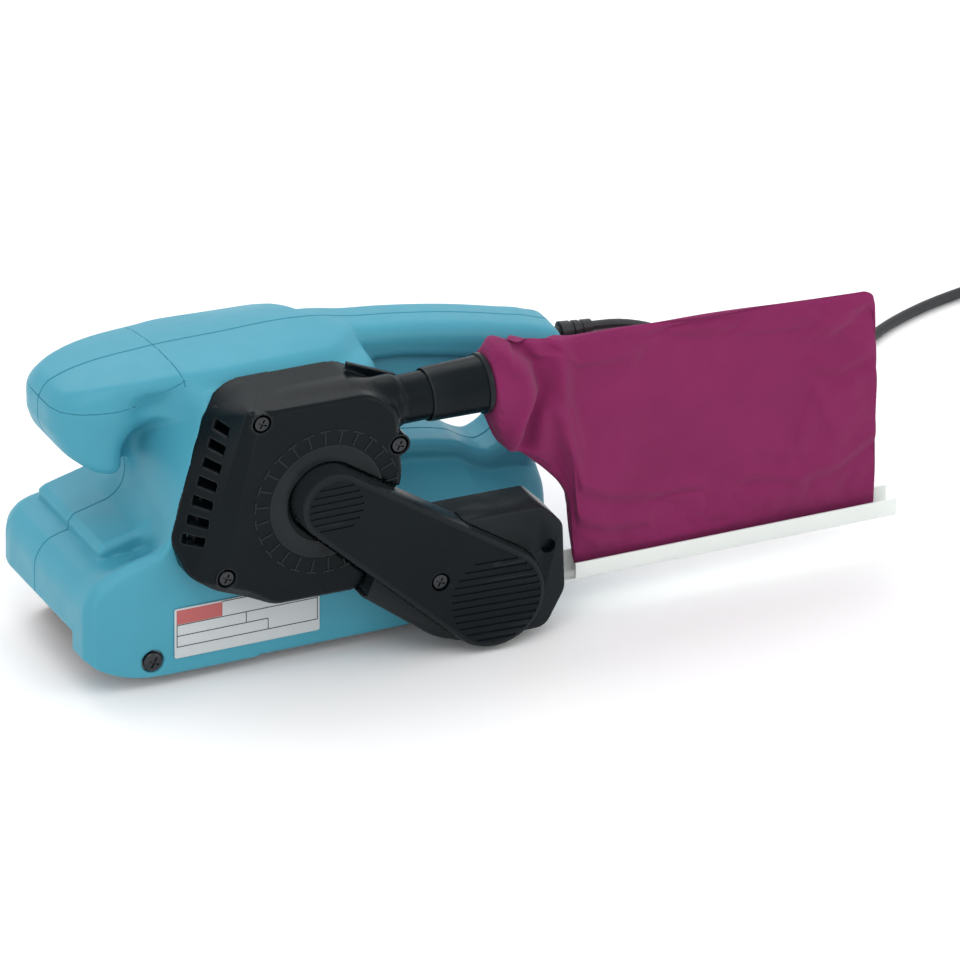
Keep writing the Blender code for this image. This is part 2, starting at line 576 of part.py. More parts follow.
# Motor --------------------------------------------------------------------------------
def motor():
    core = ring("field_core", (MOTOR_X, 8, MOTOR_Z), 36.6, 20.6, 40, material=STEEL, steps=32)
    coils = ring("field_windings", (MOTOR_X, -17.3, MOTOR_Z), 31, 21.5, 10, material=COPPER, steps=24)
    add(coils, ring("winding_brush_end", (MOTOR_X, 33.2, MOTOR_Z), 31, 21.5, 9.6, steps=24))
    for i, (x, z) in enumerate([(-1, -1), (-1, 1), (1, -1), (1, 1)]):
        low, high = (19 * x - 3, 19 * z - 3), (19 * x + 3, 19 * z + 3)
        cut(core, box(f"coil_slot_{i}", (MOTOR_X + low[0], -13, MOTOR_Z + low[1]),
                      (MOTOR_X + high[0], 29, MOTOR_Z + high[1])))
        add(coils, box(f"coil_side_{i}", (MOTOR_X + low[0] + GAP, -14, MOTOR_Z + low[1] + GAP),
                       (MOTOR_X + high[0] - GAP, 30, MOTOR_Z + high[1] - GAP)))
    turned("armature_shaft", [(0, 63), (3.9, 63), (3.9, -76), (2.7, -76), (2.7, -84.5), (0, -84.5)], (MOTOR_X, 0, MOTOR_Z),
           material=STEEL, steps=16, closed=False)
    turned("armature_core", [(4.2, 36), (13, 36), (17, 28), (19.6, 28), (19.6, -12), (17, -12), (13, -21),
                             (4.2, -21)], (MOTOR_X, 0, MOTOR_Z), material=STEEL, steps=28)
    ring("commutator", (MOTOR_X, 43.5, MOTOR_Z), 11, 4.2, 13, material=COPPER)
    fan = ring("cooling_fan", (MOTOR_X, -46, MOTOR_Z), 30, 4.2, 3, material=WHITE, steps=28)
    hub = ring("fan_hub", (MOTOR_X, -50, MOTOR_Z), 8, 4.2, 8, steps=16)
    blades = []
    for k in range(8):
        blade = box(f"fan_blade_{k}", (-0.8, -54, 6), (0.8, -45, 29.5))
        blade.matrix_world = (Matrix.Translation(Vector((MOTOR_X, 0, MOTOR_Z)) * MM)
                              @ Matrix.Rotation(math.tau * k / 8, 4, "Y") @ Matrix.Translation(blade.location))
        blades.append(blade)
    add(fan, hub, *blades)
    ring("motor_bearing_fan_end", (MOTOR_X, -69.4, MOTOR_Z), 8, 4.2, 7.6, material=STEEL)
    ring("motor_bearing_brush_end", (MOTOR_X, 59.6, MOTOR_Z), 8, 4.2, 7, material=STEEL)
    turned("motor_pulley", [(3, -76.6), (6.4, -76.6), (6.4, -77.3), (MOTOR_PULLEY_R, -77.3),
                            (MOTOR_PULLEY_R, -84), (3, -84)], (MOTOR_X, 0, MOTOR_Z), material=STEEL, steps=20)
    for name, side in (("upper", 1), ("lower", -1)):
        near, far = MOTOR_Z + side * 11.3, MOTOR_Z + side * 26
        holder = box(f"brush_holder_{name}", (MOTOR_X - 6, 38.6, min(near + side * 2, far)),
                     (MOTOR_X + 6, 50, max(near + side * 2, far)), BRASS)
        cut(holder, box(f"brush_channel_{name}", (MOTOR_X - 3.6, 40.4, MOTOR_Z - 40),
                        (MOTOR_X + 3.6, 47.6, MOTOR_Z + 40)))
        box(f"carbon_brush_{name}", (MOTOR_X - 3.3, 40.7, min(near, far - side * 3)),
            (MOTOR_X + 3.3, 47.3, max(near, far - side * 3)), CARBON)


# Handle, switch and supply ------------------------------------------------------------
DIAL_X, DIAL_Z = 102.5, 113.2


def handle_parts():
    trigger = plate("trigger", rounded(
        [(32, 122), (32, 111), (60, 107), (92, 102.5), (95.5, 105), (95, 111.5), (76, 115.0), (47, 120.4)],
        [2, 4, 8, 4, 2, 2, 2, 2], 3), -12.4, 12.4, material=TEAL)
    round_edges(trigger, 1.2)
    switch = box("switch_body", (44, -8, 123.4), (63, 6, 129), BLACK)
    add(switch, box("switch_lip", (46, -5, 122.6), (58, 4, 124)))
    lock = rod_y("lock_button", 38, 128, 3.9, 6.5, 18.6, BLACK, 16)
    add(lock, rod_y("lock_flange", 38, 128, 5.2, 6, 8.5, segments=16))
    turned("speed_dial", [(0, 3), (1, 3), (1, 1.5), (5, 1.5), (5, -1.5), (1, -1.5), (1, -3), (0, -3)],
           (DIAL_X, 11.5, DIAL_Z), "Z", BLACK, 18, closed=False)
    box("speed_controller", (78, -9, 119), (93, 6, 121.6), BLACK)
    box("cord_clamp", (107, -8, 112.2), (114, 8, 114.8), BLACK)


CORD_EXIT = (150.0, 0.0, CORD_Z)
CORD_ROUTE = [
    CORD_EXIT, (165, 0.5, 106.5), (182, 2, 100), (200, 5, 88), (217, 10, 70), (232, 17, 50), (247, 26, 31),
    (263, 38, 16), (281, 54, 6.5), (301, 76, 2.9), (326, 103, CORD_R + 0.1), (354, 129, CORD_R + 0.1),
    (382, 144, CORD_R + 0.1), (412, 153, CORD_R + 0.1), (440, 157, CORD_R + 0.1), (468, 157.5, CORD_R + 0.1)]


def cord_parts():
    turned("cord_guard", [(CORD_R + 0.3, 150), (CORD_R + 1.3, 150), (CORD_R + 1.6, 140), (CORD_R + 2.8, 134.2),
                          (CORD_R + 0.7, 134.0), (CORD_R + 0.7, 116), (CORD_R + 0.3, 116)],
           (0, 0, CORD_EXIT[2]), "X", RUBBER, 14)
    outer = COIL_INNER + (COIL_TURNS_ACROSS - 1) * TURN + CORD_R
    wire("cord_run", smooth_curve([*CORD_ROUTE, (COIL_X - 8, COIL_Y - outer - CORD_R - 0.4, CORD_R + 0.1)], 9),
         CORD_R, RUBBER)
    inner = COIL_INNER - CORD_R
    turned("cord_coil", [(inner + 1.5, 2 * TURN + 0.1), (outer - 1.5, 2 * TURN + 0.1), (outer, 2 * TURN - 1.5),
                         (outer, 1.2), (outer - 1.2, 0.1), (inner + 1.2, 0.1), (inner, 1.2), (inner, 2 * TURN - 1.5)],
           (COIL_X, COIL_Y, 0), "Z", RUBBER, 28)


PLUG_X, PLUG_Y, PLUG_Z = 583.0, 176.0, 9.5
TAIL_ROUTE = [(COIL_X + 41.9, COIL_Y + 7, 7.9), (COIL_X + 43, COIL_Y + 19, 7.2), (COIL_X + 50, COIL_Y + 33, 5.2),
              (COIL_X + 62, COIL_Y + 40, 4.6), (COIL_X + 75, COIL_Y + 37, 6.4), (COIL_X + 82, COIL_Y + 27, 8.8),
              (PLUG_X, COIL_Y + 15.7, PLUG_Z)]


def plug():
    """A round-shouldered two-pin plug for a double insulated tool, lying beside the coil."""
    wire("cord_tail", smooth_curve(TAIL_ROUTE, 8), CORD_R, RUBBER)
    body = hull("plug", [
        *[(PLUG_X + x, PLUG_Y + y, PLUG_Z + z) for x, y in rounded([(-18, -20), (18, -20), (18, -10), (-18, -10)], 4, 2)
          for z in (-9, 9)],
        *[(PLUG_X + x, PLUG_Y + y, PLUG_Z + z) for x, y in [(-13, 4), (13, 4)] for z in (-8, 8)]], RUBBER)
    add(body, rod("plug_neck", (PLUG_X, PLUG_Y + 18.8, PLUG_Z), 6, 33, "Y", segments=16, far_radius=3.4),
        *[rod(f"plug_pin_{i}", (PLUG_X + x, PLUG_Y - 29, PLUG_Z), 2.2, 20, "Y", segments=12)
          for i, x in enumerate((-9.3, 9.3))])


# Dust bag -----------------------------------------------------------------------------
CLIP_X0, CLIP_X1 = 107.0, 275.0


def dust_bag():
    turned("bag_nozzle", [(11.9, 68), (14.3, 68), (14.3, 65.6), (13.4, 65.4), (12.9, 38), (11.9, 38)],
           (0, SPOUT_Y, SPOUT_Z), "X", BLACK, 28)
    sections = [  # X, lowest and highest Z, half thickness at the top and at the fold
        (68.6, 110, 140, 13.5, 13.5), (80, 90, 144, 15, 9), (97, 73, 142, 17, 5), (108, 54, 140.5, 18, 3.0),
        (113, 24, 140, 19, 2.0), (160, 21, 137.5, 20, 2.0), (215, 21, 136, 18, 2.0), (258, 21, 132.5, 10, 2.0),
        (266, 21, 126, 3.5, 1.8)]
    bm = bmesh.new()
    rings = []
    for x, low, high, top, fold in sections:
        ring_verts = []
        for k in range(16):
            a = math.tau * k / 16
            t = 0.5 + 0.5 * math.sin(a)
            half = fold + (top - fold) * min(1.0, 1.5 * t) if t < 0.667 else top
            ring_verts.append(bm.verts.new(Vector((x, SPOUT_Y + half * math.cos(a), low + (high - low) * t)) * MM))
        rings.append(ring_verts)
    for a, b in zip(rings, rings[1:]):
        for k in range(16):
            bm.faces.new((a[k], a[(k + 1) % 16], b[(k + 1) % 16], b[k]))
    bm.faces.new(rings[0])
    bm.faces.new(rings[-1])
    bmesh.ops.recalc_face_normals(bm, faces=bm.faces)
    mesh = bpy.data.meshes.new("dust_bag")
    bm.to_mesh(mesh)
    bm.free()
    place("dust_bag", mesh, FABRIC)
    plate("bag_clip", [(-68.5, 24), (-68.5, 12.5), (-66, 9.8), (-58, 9.8), (-55.5, 12.5), (-55.5, 24),
                       (-57, 24), (-57, 14), (-59, 12), (-65, 12), (-67, 14), (-67, 24)],
          CLIP_X0, CLIP_X1, "X", WHITE)


fan_cover()
belt_guards()
frame_and_platen()
rollers()
motor()
handle_parts()
cord_parts()
plug()
dust_bag()
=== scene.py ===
"""Looks of the compact handheld belt sander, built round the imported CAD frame."""
import json
import math

import bmesh
import bpy
import numpy as np
from mathutils import Matrix, Vector


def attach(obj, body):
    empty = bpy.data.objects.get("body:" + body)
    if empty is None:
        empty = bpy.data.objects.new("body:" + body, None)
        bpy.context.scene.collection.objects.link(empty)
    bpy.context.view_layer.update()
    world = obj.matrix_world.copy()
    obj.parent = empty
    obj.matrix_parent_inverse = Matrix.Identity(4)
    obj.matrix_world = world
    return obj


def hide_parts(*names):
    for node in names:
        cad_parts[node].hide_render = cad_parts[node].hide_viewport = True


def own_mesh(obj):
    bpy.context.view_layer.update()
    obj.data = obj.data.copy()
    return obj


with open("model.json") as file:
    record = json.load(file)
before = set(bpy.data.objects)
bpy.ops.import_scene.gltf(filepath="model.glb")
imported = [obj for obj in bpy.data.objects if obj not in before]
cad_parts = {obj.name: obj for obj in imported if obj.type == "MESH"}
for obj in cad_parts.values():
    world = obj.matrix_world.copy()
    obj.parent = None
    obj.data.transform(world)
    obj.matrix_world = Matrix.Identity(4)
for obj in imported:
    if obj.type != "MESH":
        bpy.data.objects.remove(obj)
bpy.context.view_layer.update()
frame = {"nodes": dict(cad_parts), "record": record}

MM = 0.001


# Camera, floor and light --------------------------------------------------------------
TARGET = Vector((0.0883, -0.0128, 0.0474))
VIEW_WAY, VIEW_DISTANCE = Vector((0.3622, 0.8135, -0.4551)), 18.516
LENS, SENSOR = 1500, 36
FLOOR_HALF, FLOOR_Z = 30, -0.0005
LAMPS = [  # name, place, size, power
    ("key", (-0.7, -1.1, 2.0), 1.2, 10),
    ("side", (1.6, -1.4, 1.1), 1.2, 5),
    ("back", (0.1, 1.3, 2.0), 1.6, 16)]


def linked(name, data):
    made = bpy.data.objects.new(name, data)
    bpy.context.scene.collection.objects.link(made)
    return made


def aimed(made, place):
    """Puts a camera or a lamp in its place, turned to the target."""
    made.location = place
    made.rotation_mode = "QUATERNION"
    made.rotation_quaternion = (TARGET - made.location).to_track_quat("-Z", "Y")


def studio():
    camera = linked("camera", bpy.data.cameras.new("camera"))
    aimed(camera, TARGET - VIEW_DISTANCE * VIEW_WAY)
    camera.data.lens, camera.data.sensor_width = LENS, SENSOR
    camera.data.clip_start, camera.data.clip_end = 0.05, 50
    bpy.context.scene.camera = camera

    world = bpy.data.worlds.new("studio")
    world.use_nodes = True
    world.node_tree.nodes["Background"].inputs["Color"].default_value = (0.98, 0.99, 1, 1)
    world.node_tree.nodes["Background"].inputs["Strength"].default_value = 1.0
    bpy.context.scene.world = world
    bpy.context.scene.view_settings.view_transform = "Standard"
    for name, place, size, power in LAMPS:
        lamp = linked(name, bpy.data.lights.new(name, "AREA"))
        lamp.data.size, lamp.data.energy = size, power
        aimed(lamp, place)

    mesh = bpy.data.meshes.new("floor")
    corners = [(x * FLOOR_HALF, y * FLOOR_HALF, FLOOR_Z) for x, y in ((-1, -1), (1, -1), (1, 1), (-1, 1))]
    mesh.from_pydata(corners, [], [(0, 1, 2, 3)])
    floor = linked("floor", mesh)
    paper = bpy.data.materials.new("floor_paper")
    paper.use_nodes = True
    shader = paper.node_tree.nodes["Principled BSDF"]
    shader.inputs["Base Color"].default_value = (0.93, 0.93, 0.93, 1)
    shader.inputs["Roughness"].default_value = 0.9
    mesh.materials.append(paper)


studio()


# Shape tools --------------------------------------------------------------------------
def soften(points, radius):
    """The outline with each corner turned into a curve that starts that far from it."""
    count, steps = len(points), 4
    radii = radius if isinstance(radius, (list, tuple)) else [radius] * count
    out = []
    for k, r in enumerate(radii):
        before, at, after = (Vector(points[(k + d) % count]) for d in (-1, 0, 1))
        if not r:
            out.append(tuple(at))
            continue
        start = at + (before - at).normalized() * min(r, (before - at).length * 0.49)
        end = at + (after - at).normalized() * min(r, (after - at).length * 0.49)
        for i in range(steps + 1):
            t = i / steps
            out.append(tuple(start * (1 - t)**2 + at * 2 * t * (1 - t) + end * t * t))
    return out


def outline_field(u, v, points):
    """Signed distance to a closed outline over the grid u by v, negative inside."""
    pu, pv = np.meshgrid(u, v, indexing="ij")
    best = np.full(pu.shape, 1e9)
    inside = np.zeros(pu.shape, bool)
    for (au, av), (bu, bv) in zip(points, [*points[1:], points[0]]):
        eu, ev = bu - au, bv - av
        t = np.clip(((pu - au) * eu + (pv - av) * ev) / max(eu * eu + ev * ev, 1e-9), 0, 1)
        best = np.minimum(best, np.hypot(pu - au - t * eu, pv - av - t * ev))
        if av != bv:
            inside ^= ((av > pv) != (bv > pv)) & (pu < eu * (pv - av) / ev + au)
    return np.where(inside, -best, best)


def both(a, b, r):
    """What lies inside a and b, with the edge between them rounded to radius r."""
    return np.minimum(np.maximum(a, b), -r) + np.hypot(np.maximum(a + r, 0), np.maximum(b + r, 0))


def either(a, b, r):
    """a and b joined, with a fillet of radius r between them."""
    return np.maximum(np.minimum(a, b), r) - np.hypot(np.maximum(r - a, 0), np.maximum(r - b, 0))


def chamfered(a, b, leg):
    """What lies inside a and b, with the edge between them cut off flat."""
    return np.maximum(np.maximum(a, b), (a + b + leg) * math.sqrt(0.5))


def ramp(x, low, high):
    """A smooth step from 0 at low to 1 at high."""
    t = np.clip((x - low) / (high - low), 0, 1)
    return t * t * (3 - 2 * t)


def curve_through(x, points):
    """A smooth curve through points of rising x, read at x."""
    px, py = (np.array(c, float) for c in zip(*points))
    slope = np.gradient(py, px)
    x = np.clip(x, px[0], px[-1])
    i = np.clip(np.searchsorted(px, x) - 1, 0, len(px) - 2)
    h = px[i + 1] - px[i]
    t = (x - px[i]) / h
    return ((2 * t**3 - 3 * t**2 + 1) * py[i] + (t**3 - 2 * t**2 + t) * h * slope[i]
            + (3 * t**2 - 2 * t**3) * py[i + 1] + (t**3 - t**2) * h * slope[i + 1])


def grid(x, y, z):
    return x[:, None, None], y[None, :, None], z[None, None, :]


def without(field, *shapes):
    for shape in shapes:
        field = np.maximum(field, -shape)
    return field


def loft(w, levels):
    """Fields at rising levels of w, blended smoothly between them along a third axis."""
    at = np.array([level for level, _ in levels], float)
    out = np.empty((*levels[0][1].shape, len(w)))
    for k, value in enumerate(w):
        i = int(np.clip(np.searchsorted(at, value) - 1, 0, len(at) - 2))
        t = float(np.clip((value - at[i]) / (at[i + 1] - at[i]), 0, 1))
        a, b = levels[i][1], levels[i + 1][1]
        before, after = levels[max(i - 1, 0)][1], levels[min(i + 2, len(at) - 1)][1]
        out[..., k] = 0.5 * (2 * a + (b - before) * t + (2 * before - 5 * a + 4 * b - after) * t**2
                + (3 * a - before - 3 * b + after) * t**3)
    return out


def surface_net(field, corner, step):
    """Vertices and quads on the zero surface of a field sampled on a grid."""
    shape = np.array(field.shape) - 1
    total = int(np.prod(shape))
    sums, hits, rings = np.zeros((3, total)), np.zeros(total), []
    for axis in range(3):
        low = np.take(field, range(field.shape[axis] - 1), axis)
        high = np.take(field, range(1, field.shape[axis]), axis)
        index = np.argwhere((low < 0) != (high < 0))
        a, b = low[tuple(index.T)], high[tuple(index.T)]
        point = index.astype(float)
        point[:, axis] += a / (a - b)
        u, v = (axis + 1) % 3, (axis + 2) % 3
        keep = (index[:, u] > 0) & (index[:, v] > 0) & (index[:, u] < shape[u]) & (index[:, v] < shape[v])
        index, point, solid_first = index[keep], point[keep], (a < 0)[keep]
        cells = []
        for du, dv in ((-1, -1), (0, -1), (0, 0), (-1, 0)):
            cell = index.copy()
            cell[:, u] += du
            cell[:, v] += dv
            flat = np.ravel_multi_index(cell.T, shape)
            cells.append(flat)
            hits += np.bincount(flat, minlength=total)
            for k in range(3):
                sums[k] += np.bincount(flat, point[:, k], total)
        quads = np.stack(cells, 1)
        quads[~solid_first] = quads[~solid_first][:, ::-1]
        rings.append(quads)
    used = np.flatnonzero(hits)
    order = np.full(total, -1)
    order[used] = np.arange(len(used))
    points = (sums[:, used] / hits[used]).T * step + np.array(corner)
    return points, order[np.concatenate(rings)]


def relax(points, quads):
    """Evens out a net's vertices, with a push back so that it keeps its size."""
    total = len(points)
    a, b = np.concatenate([quads[:, [k, (k + 1) % 4]] for k in range(4)]).T
    count = np.bincount(a, minlength=total) + np.bincount(b, minlength=total)
    for amount in (0.5, -0.51, 0.5, -0.51):
        mean = np.stack([(np.bincount(a, points[b, c], total) + np.bincount(b, points[a, c], total)) / count
                for c in range(3)], 1)
        points = points + (mean - points) * amount
    return points


def shaded(mesh, angle=40):
    """Smooth shading with sharp edges above an angle in degrees."""
    mesh.shade_smooth()
    mesh.set_sharp_from_angle(angle=math.radians(angle))


def mesh_object(name, points, faces, smooth_angle=40):
    mesh = bpy.data.meshes.new(name)
    mesh.from_pydata((np.asarray(points) * MM).tolist(), [], [list(f) for f in faces])
    mesh.validate()
    shaded(mesh, smooth_angle)
    return linked(name, mesh)


# Housing ------------------------------------------------------------------------------
MOTOR_X, MOTOR_Z = -18.0, 91.0
REAR_X, REAR_Z = 62.0, 25.1
FRONT_X, TRACKING_Z = -97.54, 14.0
CORD_Z = 108.6
HOUSING_SCREWS = [(-112, 116, 28), (-76, 86, 28), (119.5, 89, 14), (104, 64, 14)]  # X, Z and reach along Y
# Outlines from above: the knob at three heights, and where its right half ends instead
LEFT_END = [(3, -33), (12, -29), (20, -20), (26, -14), (29, -8)]
RIGHT_END = [(-7, -33), (2, -27), (7, -16), (8, -9)]
KNOB_PLAN = [(-129, -13), (-125.5, -21), (-117, -27), (-105, -30.3), (-96, -29.8), (-88, -26), (-80, -26.5),
        (-70, -31.5), (-60, -33), *LEFT_END]
LOW_KNOB_PLAN = [(-129, -13), (-125.5, -21), (-117, -27), (-105, -29.8), (-100, -28.5), (-96.5, -23),
        (-93, -15), (-86, -11), (-70, -11), (-60, -11)]
CAP_PLAN = [(-128, -11), (-124, -18), (-115, -24), (-103, -28), (-90, -30.3), (-78, -31), (-68, -31.5),
        (-58, -33), *LEFT_END]
# Outlines from the side
TOP_LINE = [(-132, 130), (-129, 132.6), (-126, 135.4), (-118, 139.3), (-108, 141.8), (-99, 143.1), (-86, 144),
        (-72, 144.5), (-40, 144.5), (0, 144), (14, 142.3), (26, 139.6), (49, 136.3), (79, 130.8),
        (105, 124.3), (120, 120), (130, 114.5), (136, 104)]
HANDLE_SIDE = [(-6, 150), (140, 150), (134, 110), (133.6, 104), (131, 94), (127, 84), (121, 66), (117, 48),
        (100, 44), (-6, 44)]
GAP_FLOOR = [(54, 75.5), (66, 73.5), (77, 70.5), (84, 65.5), (91, 62.5)]
FINGER_GAP = [(30, 121), (47, 120), (76, 114), (98, 107), (108, 101), (111, 93), (109, 82), (104, 72),
        (98, 65.5), *GAP_FLOOR[::-1], (30, 77)]
RIDGE = [(-60, 94), (20, 90), (34, 79.5), (44, 76.5), *GAP_FLOOR, (100, 62), (112, 60), (122, 55)]
# Left outlines of neck and flare at rising heights, from the front middle to the fan cover
FLARE = [
    (66, [(-91, 0), (-91, -20), (-91, -40), (-91, -62)]),
    (75, [(-87.5, 0), (-87.5, -16), (-87.5, -38), (-88.5, -60)]),
    (82, [(-85.8, 0), (-85.5, -14), (-85.4, -36), (-85.4, -58)]),
    (92, [(-85, 0), (-84.5, -12), (-83, -30), (-80.8, -55.2)]),
    (104, [(-85, 0), (-84, -12), (-80, -30), (-75.6, -51.9)]),
    (118, [(-84, 0), (-82, -15), (-75, -31), (-69.5, -48)]),
    (130, [(-82, 0), (-80, -17), (-71, -32), (-64.4, -44.6)]),
    (138, [(-80, 0), (-78, -18), (-68, -32), (-61, -42.3)]),
    (150, [(-78, 0), (-76, -18), (-66, -31), (-57, -39)]),
]


def mirrored(half):
    """A closed outline from its left half, with the right half's own end behind the knob."""
    other = [*half[:-len(LEFT_END)], *RIGHT_END] if half[-1] == LEFT_END[-1] else half
    return half + [(x, -y) for x, y in reversed(other)]


def housing_field(x, y, z):
    X, Y, Z = grid(x, y, z)

    def side(points, radius=0):
        return outline_field(x, z, soften(points, radius))[:, None, :]

    def plan(points, radius=0):
        return outline_field(x, y, soften(points, radius))[:, :, None]

    def rod(px, pz, radius, low, high):
        return np.maximum(np.hypot(X - px, Z - pz) - radius, np.maximum(low - Y, Y - high))

    crown = 0.0038 + 0.0027 * ramp(X, -60, 0) * (1 - ramp(X, 10, 40)) * (Y > 0)
    top = (Z + crown * Y**2 - curve_through(x, TOP_LINE)[:, None, None]) * 0.985
    # knob and the body behind it
    low_shape, mid_shape, cap_shape = (outline_field(x, y, soften(mirrored(p), 4))
            for p in (LOW_KNOB_PLAN, KNOB_PLAN, CAP_PLAN))
    shape = loft(z, [(90, low_shape), (108, low_shape), (121, mid_shape), (128, mid_shape), (139, cap_shape),
            (150, cap_shape)])
    under = side([(-150, 180), (-150, 115), (-129.5, 115), (-123, 106.5), (-112, 98.5), (-104, 96), (-96, 96),
            (-86, 94), (-78, 80), (60, 80), (60, 180)], [0, 0, 2, 4, 5, 5, 4, 6, 4, 0, 0])
    knob = both(both(shape, under, 5), top, 5)
    # neck and the flare towards the fan cover
    levels = [(level, outline_field(x, y, soften(
        [*left, (20, left[-1][1] + 1), (27, -33), (27, 0), (25, 10), (7, 15), (1, 28), (-8, 33), (-62, 33),
         (left[0][0] + 6, 26), (left[0][0], 14)], [2, 8, 8, 1.5, 2, 2, 2, 2, 2, 2, 4, 2, 8, 8])))
        for level, left in FLARE]
    flare = np.maximum(both(loft(z, levels), top + 3.5, 5), 50 - Z)
    upper = either(knob, flare, 5)
    # nose, pad and the left cheek
    middle = curve_through(x, [(-132, 50.5), (-126, 54.3), (-118, 57.3), (-112, 58.5), (-100, 60), (-80, 61),
            (-40, 61)])
    rim = curve_through(x, [(-132, 51.5), (-126, 56), (-118, 60.6), (-112, 63.5), (-100, 67.6), (-88, 70.6),
            (-40, 73)])
    swell = ramp(-Y, 41, 59)
    crest = middle[:, None, None] * (1 - swell) + rim[:, None, None] * swell
    nose_top = (Z - crest) * 0.97
    front = plan([(-131, 45), (-131, -80), (-40, -80), (-40, 45)], [16, 0, 0, 0])
    nose = both(front, nose_top, 8)
    nose = chamfered(nose, -60 - Y, 4.2)
    low = side([(-150, 200), (-150, 21), (-131, 20), (-125, 14.5), (-115, 9.2), (-105, 6.3), (-96, 5.2),
            (140, 5.2), (140, 200)], [0, 0, 3, 6, 6, 6, 6, 0, 0])
    nose = both(nose, low, 1.2)
    pad_top = (Z - (65.4 + (X + 112) * 0.26)) * 0.96
    pad = chamfered(plan([(-114, -36), (-114, 36), (-70, 36), (-70, -36)], 2.5), pad_top, 2.6)
    # rear of the body
    rear = both(side([(-60, 5.2), (-60, 92), (96, 92), (112, 76), (119.5, 50), (113, 24), (97, 5.2)],
            [0, 0, 4, 8, 6, 8, 6]),
            plan([(-60, -60), (88, -60), (108, -42), (117, -20), (119, 0), (117, 20), (108, 41), (98, 45),
            (-60, 45)], [0, 8, 8, 8, 8, 8, 8, 6, 0]), 3)
    ridge = curve_through(x, RIDGE)[:, None, None]
    over_belt = curve_through(x, [(-60, 57), (60, 56), (70, 54.5), (78, 51), (86, 45), (94, 36), (140, 30)])
    fall = 0.55 * np.minimum(np.abs(Y), 16) + 0.4 * np.maximum(np.abs(Y) - 16, 0)
    roof = np.maximum(ridge - fall, over_belt[:, None, None])
    rear = both(rear, (Z - roof) * 0.9, 3)
    body = np.minimum(nose, rear)
    body = either(body, pad, 0.5)
    body = np.maximum(either(body, upper, 6), -60 - Y)
    grip = both(both(side(HANDLE_SIDE, [0, 0, 8, 4, 6, 6, 6, 6, 0, 0]), top, 7), np.abs(Y) - 16.3, 8)
    gap = side(FINGER_GAP, 3)
    grip = both(grip, -np.maximum(gap, 30 - X), 5)
    body = np.minimum(body, grip)
    slant = (Z - 127.5 + 0.45 * (Y - 45)) * 0.91
    barrel = both(both(np.hypot(X - MOTOR_X, Z - MOTOR_Z) - 40, Y - 66, 7), slant, 8)
    body = either(body, np.maximum(barrel, -Y), 3)
    return without(
        body, np.maximum(gap, 34 - X),
        # rooms for belt, nose roller, motor, knob screw, switch and trigger
        np.maximum(side([(-112, -10), (-112, 54), (62, 53), (74, 49.5), (84, 42.5), (91, 33), (93, 22),
            (86, -10)], 3), np.maximum(-57.3 - Y, Y - 70)),
        np.maximum(side([(-140, -10), (-140, 27), (-127.5, 29), (-127, 46), (-118, 53), (-100, 54),
            (-100, -10)], [0, 0, 2, 4, 4, 0, 0]), np.maximum(-43 - Y, Y - 70)),
        np.maximum(rod(MOTOR_X, MOTOR_Z, 36, -70, 62.5), slant + 6),
        np.maximum(side([(-119, 113), (-119, 130), (-96, 137), (-48, 139), (-48, 104), (-74, 104), (-79, 123),
            (-99, 123), (-107, 108)], 3), np.abs(Y) - 15),
        chamfered(side([(-8, 139), (24, 136.5), (49, 132), (105, 119.5), (127, 111), (127, 106), (110, 108),
            (76, 116), (50, 121.5), (28, 123), (28, 96), (-8, 96)], 2), np.abs(Y) - 12.8, 4),
        np.maximum(side([(31.5, 124.5), (31.5, 105), (98, 100), (98, 117)]), np.abs(Y) - 13.6),
        # holes for cord, shaft, tracking screw, lock button, dial and housing screws
        np.maximum(np.hypot(Y, Z - CORD_Z) - 3.8, np.maximum(110 - X, X - 142)),
        rod(REAR_X, REAR_Z, 9, -70, -50), rod(FRONT_X, TRACKING_Z, 5.4, -70, -50), rod(38, 128, 4.5, 8, 20),
        np.maximum(np.maximum(np.abs(X - 102.5) - 5.5, np.abs(Z - 113.2) - 2.2), 11 - Y),
        *(rod(px, pz, 3.9, reach - 2, 60) for px, pz, reach in HOUSING_SCREWS))


LINE_HALF, LINE_DEPTH = 0.35, 0.5
PARTING_Y, PARTING_DEPTH, OVERLAP = 0.2, 0.55, 0.7


def cut_line(bm, point, normal, inside):
    """A fine V groove where a plane crosses the outer faces that the test picks."""
    point, normal = Vector(point) * MM, Vector(normal).normalized()
    for shift in (-LINE_HALF, 0, LINE_HALF):
        faces = [f for f in bm.faces if inside(f.calc_center_median() / MM)]
        geom = faces + list({e for f in faces for e in f.edges}) + list({v for f in faces for v in f.verts})
        cut = bmesh.ops.bisect_plane(bm, geom=geom, dist=1e-6, plane_co=point + normal * shift * MM,
                plane_no=normal)
        if shift == 0:
            middle = [v for v in cut["geom_cut"] if isinstance(v, bmesh.types.BMVert)]
    bm.normal_update()
    for vert in middle:
        vert.co -= vert.normal * LINE_DEPTH * MM


def cut_across(bm, y, way, **how):
    """Cuts every face at a Y and returns the vertices on the cut."""
    everything = bm.verts[:] + bm.edges[:] + bm.faces[:]
    cut = bmesh.ops.bisect_plane(bm, geom=everything, dist=1e-6, plane_co=(0, y * MM, 0),
            plane_no=(0, way, 0), **how)
    return [v for v in cut["geom_cut"] if isinstance(v, bmesh.types.BMVert)]


